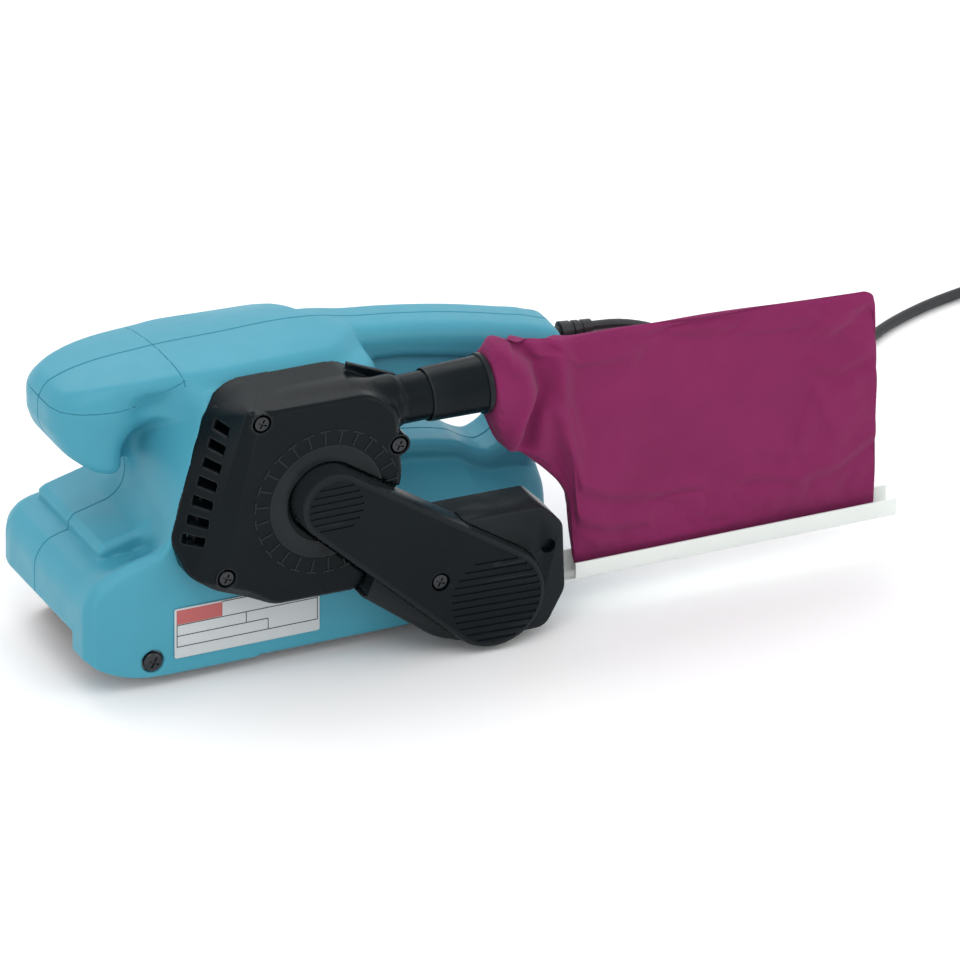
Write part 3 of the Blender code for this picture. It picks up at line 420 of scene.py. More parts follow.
def housing():
    step = 1.0
    halves = []
    for name, way, low, high in (("housing_left", 1, -63.3, 4.0), ("housing_right", -1, -4.0, 69.0)):
        x, y, z = np.arange(-134.4, 138, step), np.arange(low, high, step), np.arange(1.3, 149, step)
        points, quads = surface_net(housing_field(x, y, z), (x[0], y[0], z[0]), step)
        made = mesh_object(name + "_shell", relax(points, quads), quads, 50)
        bm = bmesh.new()
        bm.from_mesh(made.data)
        # the cross seam, and the cap line behind and in front of the knob's middle
        cut_line(bm, (-71.2, 0, 0), (1, 0.079, 0),
                lambda c: -84 < c.x < -62 and abs(c.y) < 33 and c.z > 137.3)
        cut_line(bm, (-92, 0, 130), (-9.4, 0, 24), lambda c: -92 < c.x < -68 and abs(c.y) > 24 and c.z > 126)
        cut_line(bm, (-100, 0, 129.8), (0, 0, 1), lambda c: c.x < -92 and 126 < c.z < 134)
        # the halves meet in a groove, and each is closed just past the middle
        cut_across(bm, -way * OVERLAP, way)
        rim = cut_across(bm, -way * PARTING_Y, way, clear_outer=True)
        bm.normal_update()
        for vert in rim:
            shift = -vert.normal * PARTING_DEPTH * MM
            vert.co += Vector((shift.x, 0, shift.z))
        bmesh.ops.triangle_fill(bm, edges=[e for e in bm.edges if e.is_boundary], use_beauty=True)
        bm.to_mesh(made.data)
        bm.free()
        shaded(made.data, 50)
        halves.append(made)
    return halves


# Materials ----------------------------------------------------------------------------
def surface(name, colour, roughness, metallic=0.0, grain=0.0, grain_size=0.5, mottle=0.05, wear=0.0,
        sheen=0.0, weave=0.0, subsurface=0.0, specular=0.5, stretch=(1, 1, 1)):
    """A procedural finish with mottled colour, uneven gloss, grain and paler worn edges. Sizes are in mm."""
    made = bpy.data.materials.new(name)
    made.use_nodes = True
    nodes, links = made.node_tree.nodes, made.node_tree.links
    shader = nodes["Principled BSDF"]
    shader.inputs["Metallic"].default_value = metallic
    shader.inputs["Specular IOR Level"].default_value = specular
    if sheen:
        shader.inputs["Sheen Weight"].default_value = sheen
        shader.inputs["Sheen Roughness"].default_value = 0.5
    if subsurface:
        shader.inputs["Subsurface Weight"].default_value = subsurface
        shader.inputs["Subsurface Scale"].default_value = 0.004
        shader.inputs["Subsurface Radius"].default_value = (1, 1, 1)
    place = nodes.new("ShaderNodeTexCoord")
    spread = nodes.new("ShaderNodeMapping")
    spread.inputs["Scale"].default_value = stretch
    links.new(place.outputs["Object"], spread.inputs["Vector"])

    def noise(size, detail=4.0):
        made_noise = nodes.new("ShaderNodeTexNoise")
        made_noise.inputs["Scale"].default_value = 1 / (size * MM)
        made_noise.inputs["Detail"].default_value = detail
        links.new(spread.outputs["Vector"], made_noise.inputs["Vector"])
        return made_noise.outputs["Fac"]

    def mapped(value, low, high, from_low=0.3, from_high=0.7):
        node = nodes.new("ShaderNodeMapRange")
        links.new(value, node.inputs["Value"])
        for key, number in zip(("From Min", "From Max", "To Min", "To Max"),
                (from_low, from_high, low, high)):
            node.inputs[key].default_value = number
        return node.outputs["Result"]

    def mixed(factor, a, b):
        node = nodes.new("ShaderNodeMix")
        node.data_type = "RGBA"
        links.new(factor, node.inputs["Factor"])
        for key, value in (("A", a), ("B", b)):
            socket = next(i for i in node.inputs if i.name == key and i.type == "RGBA")
            if isinstance(value, (list, tuple)):
                socket.default_value = (*value[:3], 1)
            else:
                links.new(value, socket)
        return next(o for o in node.outputs if o.type == "RGBA")

    shades = [tuple(c * k for c in colour) for k in (1 - mottle, 1 + mottle)]
    tint = mixed(mapped(noise(26), 0, 1), *shades)
    if wear:
        point = nodes.new("ShaderNodeNewGeometry").outputs["Pointiness"]
        worn = tuple(min(1, c * 1.5 + 0.03) for c in colour)
        tint = mixed(mapped(point, 0, wear, 0.51, 0.58), tint, worn)
    if weave:
        waves = []
        for direction in ("X", "Z"):
            wave = nodes.new("ShaderNodeTexWave")
            wave.bands_direction = direction
            wave.inputs["Scale"].default_value = 0.314 / (weave * MM)
            wave.inputs["Distortion"].default_value = 0.6
            wave.inputs["Detail"].default_value = 1
            links.new(spread.outputs["Vector"], wave.inputs["Vector"])
            waves.append(wave.outputs["Fac"])
        cross = nodes.new("ShaderNodeMath")
        cross.operation = "MULTIPLY"
        links.new(waves[0], cross.inputs[0])
        links.new(waves[1], cross.inputs[1])
        tint = mixed(mapped(cross.outputs["Value"], 0, 0.35, 0, 1), tint, tuple(c * 0.55 for c in colour))
    links.new(tint, shader.inputs["Base Color"])
    links.new(mapped(noise(9), roughness - 0.05, roughness + 0.05), shader.inputs["Roughness"])
    if grain or weave:
        bump = nodes.new("ShaderNodeBump")
        bump.inputs["Distance"].default_value = (grain or 0.15) * MM
        bump.inputs["Strength"].default_value = 0.6
        links.new(cross.outputs["Value"] if weave else noise(grain_size, 2.0), bump.inputs["Height"])
        links.new(bump.outputs["Normal"], shader.inputs["Normal"])
    return made


LOOKS = {
    "teal_housing": surface("teal_plastic", (0.057, 0.292, 0.39), 0.4, grain=0.05, grain_size=0.35,
        mottle=0.03, wear=0.25, specular=0.25),
    "black_cover": surface("black_plastic", (0.003, 0.0058, 0.0074), 0.27, grain=0.05, grain_size=0.4,
        mottle=0.15, wear=0.5, specular=0.11),
    "black_small": surface("small_black_plastic", (0.007, 0.008, 0.009), 0.45, grain=0.03, mottle=0.15,
        specular=0.2),
    "fan_nylon": surface("natural_nylon", (0.55, 0.53, 0.47), 0.5, grain=0.03, mottle=0.04),
    "screw_steel": surface("blackened_steel", (0.05, 0.052, 0.056), 0.26, 1.0, grain=0.02, mottle=0.2),
    "bright_steel": surface("ground_steel", (0.5, 0.5, 0.51), 0.3, 1.0, grain=0.015, grain_size=0.3,
        mottle=0.08, stretch=(1, 0.05, 1)),
    "laminated_steel": surface("laminations", (0.22, 0.22, 0.23), 0.45, 1.0, grain=0.08, mottle=0.1,
        stretch=(0.05, 1, 0.05)),
    "cast_frame": surface("cast_alloy", (0.48, 0.49, 0.5), 0.5, 1.0, grain=0.12, grain_size=0.8, mottle=0.08),
    "copper": surface("copper_wire", (0.48, 0.16, 0.05), 0.35, 1.0, grain=0.1, grain_size=0.6, mottle=0.15),
    "brass": surface("drawn_brass", (0.6, 0.42, 0.14), 0.32, 1.0, grain=0.02, mottle=0.08),
    "carbon": surface("carbon", (0.015, 0.015, 0.016), 0.6, grain=0.05, mottle=0.2),
    "roller_rubber": surface("roller_rubber", (0.012, 0.012, 0.013), 0.75, grain=0.08, mottle=0.2),
    "cord_rubber": surface("cord_rubber", (0.012, 0.014, 0.016), 0.48, grain=0.04, mottle=0.2),
    "cork": surface("cork", (0.3, 0.16, 0.07), 0.85, grain=0.3, grain_size=1.2, mottle=0.3),
    "abrasive": surface("abrasive_grit", (0.075, 0.022, 0.017), 0.85, grain=0.25, grain_size=0.35,
        mottle=0.25),
    "clip_plastic": surface("milky_plastic", (0.72, 0.76, 0.73), 0.35, grain=0.02, mottle=0.02,
        subsurface=0.15),
    "label": surface("label_film", (0.5, 0.53, 0.54), 0.35, grain=0.01, mottle=0.02),
    "bag_cloth": surface("bag_cloth", (0.212, 0.0215, 0.094), 0.85, sheen=0.07, weave=0.55, mottle=0.06,
        specular=0.05)}
LABEL_RED = surface("label_red", (0.42, 0.09, 0.09), 0.35, grain=0.01, mottle=0.03)
LABEL_INK = surface("label_ink", (0.02, 0.022, 0.025), 0.4, grain=0.01)


def finish_piece(made, body, slot, replaced=(), material=None):
    made.data.materials.clear()
    made.data.materials.append(material or LOOKS[slot])
    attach(made, body)
    if replaced:
        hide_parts(*replaced)
    return made


# Fan cover ----------------------------------------------------------------------------
SPOUT_Y, SPOUT_Z = -62.0, 125.0
FACE_Y = -78.0
COVER_SCREWS = [(-50, 135), (19, 110), (-68, 59)]
ARM_TOP, ARM_LOW, ARM_SCREW = (MOTOR_X, MOTOR_Z, 17.0), (REAR_X, 27.5, 25.5), (34.2, 41.7)
ARM_BACK, VENTS = -74.3, 7


def two_circles(grow):
    """The belt cover's outline: two circles and their common tangents, grown on all sides."""
    (x0, z0, r0), (x1, z1, r1) = ARM_TOP, ARM_LOW
    r0, r1, steps = r0 + grow, r1 + grow, 28
    angle = math.atan2(z1 - z0, x1 - x0)
    lean = math.acos((r0 - r1) / math.hypot(x1 - x0, z1 - z0))
    out = []
    for k in range(steps + 1):
        a = angle + lean + (2 * math.pi - 2 * lean) * k / steps
        out.append((x0 + r0 * math.cos(a), z0 + r0 * math.sin(a)))
    for k in range(steps + 1):
        a = angle - lean + 2 * lean * k / steps
        out.append((x1 + r1 * math.cos(a), z1 + r1 * math.sin(a)))
    return out


def cover_field(x, y, z):
    X, Y, Z = grid(x, y, z)
    # the front wall is ruled between its line on the housing and the front edge of the face
    drop = (137 - Z) / 62
    inner_x, inner_y, face_x = -61.3 - 27 * drop, -42.6 - 17.4 * drop, -55 - 21 * (142 - Z) / 82
    share = np.clip((Y - inner_y) / (FACE_Y - inner_y), 0, 1)
    lean = (face_x - inner_x) / (FACE_Y - inner_y)
    wall = (inner_x + (face_x - inner_x) * share - X) / np.sqrt(1 + lean**2 + 0.35**2)
    prism = outline_field(x, z, soften([(-110, 141.8), (5.5, 139.2), (18, 129), (21, 92), (-1, 39.5),
            (-44, 40), (-72, 51.5), (-84.4, 60.5), (-89, 76), (-110, 100)],
            [0, 7, 7, 6, 5, 4, 3, 2, 1.5, 0]))[:, None, :]
    cover = both(prism, wall, 1.5 + 14 * ramp(Y, -78, -42) * ramp(Z, 108, 126))
    cover = np.maximum(cover, Y - np.maximum(inner_y + 4, -57.0))
    cover = chamfered(cover, FACE_Y - Y, 1.6 + 3.4 * ramp(-X, 40, 58))
    # tunnel, spout and the gusset over it
    from_spout = np.hypot(Y - SPOUT_Y, Z - SPOUT_Z)
    cover = either(cover, both(from_spout - 12.8, np.abs(X + 6) - 30, 3), 4)
    cover = either(cover, np.maximum(from_spout - 11.5, np.abs(X - 32) - 28), 2.2)
    gusset = np.maximum(np.maximum(np.abs(Y + 48) - 1.6, X - 30),
            np.maximum((Z - 141 + 0.45 * (X - 8)) * 0.9, 118 - Z))
    cover = either(cover, np.maximum(gusset, 5 - X), 1.2)
    # blind chamber behind the vents, spout bore, screw sinks and vents
    chamber = np.maximum(np.maximum(wall + 2.4, -13 - wall), np.maximum(FACE_Y + 5.5 - Y, Y - inner_y + 2.5))
    cover = without(cover, np.maximum(np.maximum(chamber, Z - 133), 66 - Z), np.maximum(from_spout - 9.6, -X))
    for sx, sz in COVER_SCREWS:
        reach = np.hypot(X - sx, Z - sz)
        cover = np.minimum(cover, np.maximum(reach - 5.5, np.maximum(FACE_Y + 0.4 - Y, Y + 66)))
        cover = without(cover, np.maximum(reach - 4.5, Y - (FACE_Y + 2.9)), reach - 1.9)
    for row in range(VENTS):
        t = row / (VENTS - 1)
        cx, cy, cz = -63.4 - 17.0 * t, -59.4 - 8.0 * t, 127 - 50.5 * t
        along = Vector((0.224 + 0.426 * t, -0.974 + 0.214 * t, 0)).normalized()
        u = (X - cx) * along.x + (Y - cy) * along.y
        cover = without(cover, np.maximum(np.maximum(np.abs(u) - 5.8, np.abs(Z - cz) - 2.1),
                np.abs(wall) - 6))
    return cover


def fan_cover():
    step = 0.65
    x, y, z = np.arange(-92, 63, step), np.arange(-80, -30, step), np.arange(36, 144.2, step)
    recess = np.maximum(outline_field(x, z, two_circles(1.5))[:, None, :], (y - ARM_BACK)[None, :, None])
    field = both(cover_field(x, y, z), -recess, 0.7)
    points, quads = surface_net(field, (x[0], y[0], z[0]), step)
    made = mesh_object("fan_cover_shell", relax(points, quads), quads, 55)
    finish_piece(made, "housing", "black_cover", ["fan_cover"])


# Solid tools --------------------------------------------------------------------------
def from_bmesh(name, bm, smooth_angle=40):
    mesh = bpy.data.meshes.new(name)
    bmesh.ops.recalc_face_normals(bm, faces=bm.faces)
    bm.to_mesh(mesh)
    bm.free()
    shaded(mesh, smooth_angle)
    return linked(name, mesh)


def tube_faces(rings, around):
    """Quads between rings of vertices, with a face over each end."""
    faces = []
    for i in range(0, (rings - 1) * around, around):
        for k in range(around):
            after = (k + 1) % around
            faces.append((i + k, i + after, i + around + after, i + around + k))
    last = (rings - 1) * around
    return [*faces, tuple(range(around))[::-1], tuple(range(last, last + around))]


def extruded(name, outline, low, high, round_low=0.0, round_high=0.0, segments=3, axis="Y", smooth_angle=40):
    """An outline in (X, Z) extruded along Y (or in (Y, Z) along X, in (X, Y) along Z), its rims rounded."""
    def at(u, v, w):
        return Vector({"Y": (u, w, v), "X": (w, u, v), "Z": (u, v, w)}[axis]) * MM
    bm = bmesh.new()
    ends = [[bm.verts.new(at(u, v, w)) for u, v in outline] for w in (low, high)]
    faces = [bm.faces.new(ends[0]), bm.faces.new(ends[1])]
    count = len(outline)
    for k in range(count):
        bm.faces.new((ends[0][k], ends[0][(k + 1) % count], ends[1][(k + 1) % count], ends[1][k]))
    bmesh.ops.recalc_face_normals(bm, faces=bm.faces)
    for face, size in zip(faces, (round_low, round_high)):
        if size:
            bmesh.ops.bevel(bm, geom=list(face.edges), offset=size * MM, segments=segments, profile=0.5,
                    affect="EDGES", clamp_overlap=True)
    return from_bmesh(name, bm, smooth_angle)


def turned(name, profile, centre, axis="Y", steps=48):
    """A closed profile of (radius, height) pairs turned about an axis through the centre."""
    bm = bmesh.new()
    rings = []
    for k in range(steps):
        a = math.tau * k / steps
        c, s = math.cos(a), math.sin(a)
        rings.append([bm.verts.new((Vector({"Y": (r * c, h, r * s), "X": (h, r * c, r * s)}[axis])
                + Vector(centre)) * MM) for r, h in profile])
    count = len(profile)
    for a, b in zip(rings, [*rings[1:], rings[0]]):
        for k in range(count):
            bm.faces.new((a[k], a[(k + 1) % count], b[(k + 1) % count], b[k]))
    bmesh.ops.remove_doubles(bm, verts=bm.verts, dist=1e-6)
    return from_bmesh(name, bm, 35)


def boxes(name, items):
    """Boxes as one cutter; each item is (centre, half sizes, turn about Y in degrees)."""
    bm = bmesh.new()
    for centre, half, turn in items:
        matrix = (Matrix.Translation(Vector(centre) * MM) @ Matrix.Rotation(math.radians(turn), 4, "Y")
                @ Matrix.Diagonal((*(2 * h * MM for h in half), 1)))
        bmesh.ops.create_cube(bm, size=1, matrix=matrix)
    return from_bmesh(name, bm)


def boolean(target, cutter, operation="DIFFERENCE", smooth_angle=40):
    change = target.modifiers.new(operation, "BOOLEAN")
    change.operation = operation
    change.solver = "EXACT"
    change.object = cutter
    graph = bpy.context.evaluated_depsgraph_get()
    mesh = bpy.data.meshes.new_from_object(target.evaluated_get(graph))
    target.modifiers.clear()
    old, target.data = target.data, mesh
    bpy.data.meshes.remove(old)
    bpy.data.objects.remove(cutter, do_unlink=True)
    shaded(mesh, smooth_angle)
    return target


def joined(target, *others):
    """Several meshes as one piece."""
    bm = bmesh.new()
    bm.from_mesh(target.data)
    for other in others:
        bm.from_mesh(other.data)
        bpy.data.objects.remove(other, do_unlink=True)
    bm.to_mesh(target.data)
    bm.free()
    shaded(target.data)
    return target


# Drive side details -------------------------------------------------------------------
def cover_ribs():
    """The shallow disc and the ring of tick ribs on the fan cover's face."""
    proud, count, middle_z = FACE_Y - 0.45, 26, MOTOR_Z - 2
    made = turned("fan_cover_face_ring", [(20, FACE_Y + 0.5), (20, proud), (27.6, proud),
            (28.4, FACE_Y - 0.1), (28.4, FACE_Y + 0.5)], (MOTOR_X, 0, middle_z), steps=72)
    ticks = []
    for k in range(count):
        a = math.radians(8 + 360 * k / count)
        for r, half in ((32.5, (3.3, 0.3, 0.35)), (36, (0.35, 0.3, 2.6))):
            cx, cz = MOTOR_X + r * math.cos(a), middle_z + r * math.sin(a)
            if cx < 19 and cz > 43:
                ticks.append(((cx, FACE_Y - 0.1, cz), half, -math.degrees(a)))
    joined(made, boxes("ticks", ticks))
    boolean(made, extruded("recess", two_circles(1.6), -95, -60))
    finish_piece(made, "housing", "black_cover")


def drive_covers():
    top_x, top_z, _ = ARM_TOP
    low_x, low_z, _ = ARM_LOW
    screw_x, screw_z = ARM_SCREW
    face = -90
    arm = extruded("belt_cover_arm", two_circles(0), face, ARM_BACK, round_low=2.6, segments=2,
            smooth_angle=25)
    boolean(arm, extruded("arm_inside", two_circles(-2.4), face + 2.4, -60))
    grooves = []
    for k in range(-3, 4):
        z = k * 3.5
        grooves.append(((top_x, face, top_z + z), (math.sqrt(13.5**2 - z * z), 0.5, 0.55), 0))
    for k in range(-6, 6):
        z = 1.5 + k * 3.6
        reach = math.sqrt(max(22.3**2 - z * z, 1))
        low, high = low_x - reach, low_x + reach
        if abs(low_z + z - screw_z) < 7:
            low = max(low, screw_x + 7)
        grooves.append((((low + high) / 2, face, low_z + z), ((high - low) / 2, 0.55, 0.6), 2.0))
    boolean(arm, boxes("grooves", grooves))
    boolean(arm, turned("arm_post", [(1.9, -88), (6.3, -88), (6.3, -74.6), (1.9, -74.6)],
            (screw_x, 0, screw_z), steps=24), "UNION")
    boolean(arm, turned("arm_sink", [(0, -95), (4.6, -95), (4.6, -87.4), (0, -87.4)], (screw_x, 0, screw_z),
            steps=32), smooth_angle=25)
    finish_piece(arm, "housing", "black_cover", ["belt_cover"])

    guard = extruded("belt_guard_shell", soften([(20, 68), (88, 67), (99, 56), (100, 22), (90, 4), (52, 3.6),
            (34, 10), (-2, 38), (-2, 60)], [0, 2, 3, 3, 5, 5, 5, 0, 0]),
            -84, -60.3, round_low=1.6, segments=2, smooth_angle=25)
    boolean(guard, extruded("guard_inside", soften([(20, 64), (86, 63.5), (95.5, 54), (96.5, 23), (87, 7),
            (54, 7), (36, 13), (12, 36)], 2), -71.8, -50))
    boolean(guard, extruded("guard_cover_gap", [(-110, 141), (6, 139), (18.9, 129), (21.9, 92), (-0.1, 38.9),
            (-44, 39), (-110, 50)], -99, -50))
    boolean(guard, extruded("guard_arm_gap", two_circles(0.5), -99, -74))
    boolean(guard, turned("guard_dimple", [(0, -90), (3.6, -90), (3.6, -80.5), (0, -80.5)], (91, 0, 46),
            steps=28))
    boolean(guard, turned("guard_shaft", [(0, -90), (9, -90), (9, -55), (0, -55)], (REAR_X, 0, REAR_Z),
            steps=28), smooth_angle=25)
    finish_piece(guard, "housing", "black_cover", ["belt_guard_base"])


def screw(name, x, z, tip, outer, head_r, body, replaced, way=-1):
    """A pan-head screw along Y with a cross recess; outer is the head's own end and way the side it faces."""
    inner = outer - way * 1.9
    profile = [(0, tip), (1.6, tip), (1.6, inner), (head_r, inner), (head_r, inner + way * 0.7),
            (head_r * 0.86, outer - way * 0.35), (head_r * 0.55, outer), (0, outer)]
    made = turned(name, profile, (x, 0, z), steps=32)
    for turn in (28, 118):
        boolean(made, boxes("cross", [((x, outer, z), (head_r * 0.58, 0.8, 0.42), turn)]))
    finish_piece(made, body, "screw_steel", [replaced])


def screws():
    for k, (x, z) in enumerate(COVER_SCREWS):
        screw(f"fan_cover_fixing_{k + 1}", x, z, -48, -77.7, 4.0, "housing", f"fan_cover_screw_{k + 1}")
    screw("belt_cover_fixing", *ARM_SCREW, -68, -89.7, 4.0, "housing", "belt_cover_screw")
    screw("tracking_adjuster", FRONT_X, TRACKING_Z, -46, -61.2, 4.9, "tracking_screw", "tracking_screw")
    for k, (x, z, reach) in enumerate(HOUSING_SCREWS):
        screw(f"housing_fixing_{k + 1}", x, z, 7 - reach, reach + 0.6, 3.4, "housing",
                f"housing_screw_{k + 1}", way=1)


def label():
    """The rating plate: a blank printed form with a red field, rules and no lettering."""
    front, back = -60.8, -60.3
    plate = extruded("rating_plate", soften([(-87, 13.5), (-87, 39), (-14, 39), (-14, 13.5)], 1.2), front,
            back, round_low=0.15, segments=1)
    finish_piece(plate, "housing", "label", ["name_plate"])
    ink = front - 0.06
    red = extruded("rating_plate_red", [(-86, 31), (-86, 38.2), (-63, 38.2), (-63, 31)], ink, front + 0.1)
    finish_piece(red, "housing", "label", material=LABEL_RED)
    rules = [(((x0 + x1) / 2, ink + 0.05, z), ((x1 - x0) / 2, 0.05, 0.22), 0) for z, x0, x1 in (
        (30.6, -86, -15), (25.0, -86, -40), (19.4, -86, -15), (38.4, -63, -15))]
    rules += [((x, ink + 0.05, (z0 + z1) / 2), (0.2, 0.05, (z1 - z0) / 2), 0) for x, z0, z1 in (
        (-85.8, 19.4, 30.6), (-51, 25, 30.6), (-40, 19.4, 25), (-15.2, 19.4, 38.4))]
    finish_piece(boxes("rating_plate_rules", rules), "housing", "label", material=LABEL_INK)


# Lead, nozzle and clip ----------------------------------------------------------------
CORD_R, TURN = 2.5, 5.2
COIL_X, COIL_Y, COIL_INNER, COIL_ACROSS = 500.0, 196.0, 21.0, 4
ON_FLOOR = 2.6
CORD_ROUTE = [
    (150, 0, 108.6), (165, 0.5, 106.5), (182, 2, 100), (200, 5, 88), (217, 10, 70), (232, 17, 50),
    (247, 26, 31), (263, 38, 16), (281, 54, 6.5), (301, 76, 2.9), (326, 103, ON_FLOOR), (354, 129, ON_FLOOR),
    (382, 144, ON_FLOOR), (412, 153, ON_FLOOR), (440, 157, ON_FLOOR), (468, 157.5, ON_FLOOR)]
TAIL_ROUTE = [(537.2, 212, 7), (540.4, 224, 5.8), (548.6, 233, 5), (560, 236.4, 5.4), (571.4, 233.2, 6.8),
        (579.8, 224.6, 8.6), (583, 211.7, 9.5)]


def smooth_route(points, spacing):
    """A smooth curve through the points, as points that far apart."""
    route = [Vector(p) for p in points]
    route = [route[0] * 2 - route[1], *route, route[-1] * 2 - route[-2]]
    fine = []
    for a, b, c, d in zip(route, route[1:], route[2:], route[3:]):
        for k in range(24):
            t = k / 24
            fine.append(0.5 * ((2 * b) + (c - a) * t + (2 * a - 5 * b + 4 * c - d) * t**2
                    + (3 * b - a - 3 * c + d) * t**3))
    fine.append(route[-2])
    along = np.cumsum([0.0, *[(q - p).length for p, q in zip(fine, fine[1:])]])
    at = np.linspace(0.0, along[-1], max(2, round(along[-1] / spacing) + 1))
    return [tuple(np.interp(s, along, [p[i] for p in fine]) for i in range(3)) for s in at]


def coil_points():
    """Two flat layers: the lower one winds inwards, the upper one back out."""
    start, per_turn, width = -math.pi / 2, 40, (COIL_ACROSS - 1) * TURN
    turns_out = COIL_ACROSS + 0.25
    points = []
    for k in range(COIL_ACROSS * per_turn + 1):
        t = k / per_turn
        points.append((start + math.tau * t, COIL_INNER + width - width * t / COIL_ACROSS, ON_FLOOR))
    for k in range(1, int(turns_out * per_turn) + 1):
        t = k / per_turn
        lift = min(1.0, t / 0.25)
        points.append((start + math.tau * t, COIL_INNER + width * t / turns_out,
                ON_FLOOR + TURN * lift * lift * (3 - 2 * lift)))
    return [(COIL_X + r * math.cos(a), COIL_Y + r * math.sin(a), z) for a, r, z in points]


def lead():
    coil = coil_points()
    run = smooth_route([*CORD_ROUTE, (coil[0][0] - 10, coil[0][1] - 0.3, ON_FLOOR), coil[0]], 5)
    tail = smooth_route([coil[-1], *TAIL_ROUTE], 4)
    points = [*run, *coil[1:], *tail[1:]]
    curve = bpy.data.curves.new("mains_lead", "CURVE")
    curve.dimensions = "3D"
    curve.bevel_depth = CORD_R * MM
    curve.bevel_resolution = 4
    curve.use_fill_caps = True
    spline = curve.splines.new("POLY")
    spline.points.add(len(points) - 1)
    for point, xyz in zip(spline.points, points, strict=True):
        point.co = (*(Vector(xyz) * MM), 1)
    spline.use_smooth = True
    made = finish_piece(linked("mains_lead", curve), "housing", "cord_rubber",
            ["cord_run", "cord_coil", "cord_tail"])

    x, y, z = 583.0, 176.0, 9.5
    body = extruded("mains_plug", soften(
        [(x - 18, y - 20), (x + 18, y - 20), (x + 18, y - 8), (x + 12, y + 5), (x + 5, y + 10),
            (x - 5, y + 10), (x - 12, y + 5), (x - 18, y - 8)],
        [2, 2, 5, 5, 3, 3, 5, 5]), z - 8.5, z + 8.5, 3, 3, 4, axis="Z")
    neck = turned("plug_neck", [(0, y + 2), (6.4, y + 2), (6.4, y + 12), (5.6, y + 13), (5.6, y + 15),
            (5.9, y + 15.5), (5.3, y + 20), (4.9, y + 20.4), (5.1, y + 21), (4.4, y + 26), (4.1, y + 26.5),
            (4.3, y + 27), (3.6, y + 35), (0, y + 35)], (x, 0, z), steps=32)
    boolean(body, neck, "UNION")
    finish_piece(body, "housing", "cord_rubber", ["plug"])
    pins = [turned(f"plug_pin_{k}", [(0, y - 39), (1.6, y - 39), (2.2, y - 38), (2.2, y - 19.5),
            (0, y - 19.5)], (x + side, 0, z), steps=24) for k, side in enumerate((-9.3, 9.3))]
    pins = finish_piece(joined(*pins), "housing", "brass")
    guard = turned("lead_guard", [(2.8, 149.8), (3.6, 150), (3.8, 149.2), (4.1, 145.4), (3.6, 145),
            (3.7, 144), (4.3, 143.6), (4.6, 141), (4.0, 140.6), (4.2, 139.6), (4.8, 139.2), (5.3, 134.2),
            (3.2, 134), (3.2, 116), (2.8, 116)], (0, 0, CORD_Z), "X", steps=32)
    finish_piece(guard, "housing", "cord_rubber", ["cord_guard"])


def nozzle_and_clip():
    nozzle = turned("nozzle", [(11.85, 68), (14.3, 68), (14.45, 67.6), (14.45, 65.9), (14.1, 65.5),
            (13.5, 65.3), (13.3, 64), (12.75, 39.4), (12.5, 38.2), (12.2, 38), (11.85, 38.4)],
            (0, SPOUT_Y, SPOUT_Z), "X", steps=64)
    finish_piece(nozzle, "bag_nozzle", "black_cover", ["bag_nozzle"])
    rail = extruded("clip_rail", soften(
        [(-68.6, 25), (-68.6, 17.5), (-66.4, 15), (-57.6, 15), (-55.4, 17.5), (-55.4, 26.5), (-56.8, 26.5),
         (-56.8, 18.4), (-58.4, 16.6), (-65.6, 16.6), (-67.2, 18.4), (-67.2, 25)],
        [0.6, 3, 3, 3, 3, 0.6, 0.6, 1.5, 1.5, 1.5, 1.5, 0.6]), 105, 275, 0.3, 0.3, 1, axis="X")
    boolean(rail, boxes("clip_notch", [((106, -70, 24), (6, 9, 7), 0)]))
    finish_piece(rail, "bag_clip", "clip_plastic", ["bag_clip"])


# Dust bag -----------------------------------------------------------------------------
BAG_TOP = [(68, 138.9), (70, 142.5), (73, 145), (82, 145), (96, 142), (110, 140), (135, 139.3), (170, 137.6),
        (205, 136), (235, 134), (256, 132.8), (262, 132.6), (265.5, 130), (267, 124)]
BAG_FOOT = [(68, 111.1), (70, 101), (73, 95.5), (76, 91), (84, 84), (97, 73.5), (103, 66), (107, 57),
        (110, 45), (112, 32), (113, 20), (266, 20), (267, 22)]
NECK_FOLD = [(83, 143), (91, 132), (93, 118), (88, 104), (86, 92)]
SIDE_FOLD = [(99, 140), (98, 110), (101, 90), (104, 74)]
LOW_FOLDS = [[(113, 62), (130, 52), (150, 47), (176, 45)], [(112, 44), (128, 36), (150, 33)],
        [(262, 96), (248, 92), (236, 96)], [(264, 52), (246, 44), (226, 42), (200, 46)]]
BAG_AROUND = 96
CLOTH_FRAMES, MOST_MOVE = 24, 4


def near_line(x, z, points, width):
    """1 on a line through the points and 0 away from it."""
    best = np.full(x.shape, 1e9)
    for (ax, az), (bx, bz) in zip(points, points[1:]):
        ex, ez = bx - ax, bz - az
        t = np.clip(((x - ax) * ex + (z - az) * ez) / (ex * ex + ez * ez), 0, 1)
        best = np.minimum(best, np.hypot(x - ax - t * ex, z - az - t * ez))
    return np.exp(-(best / width)**2)


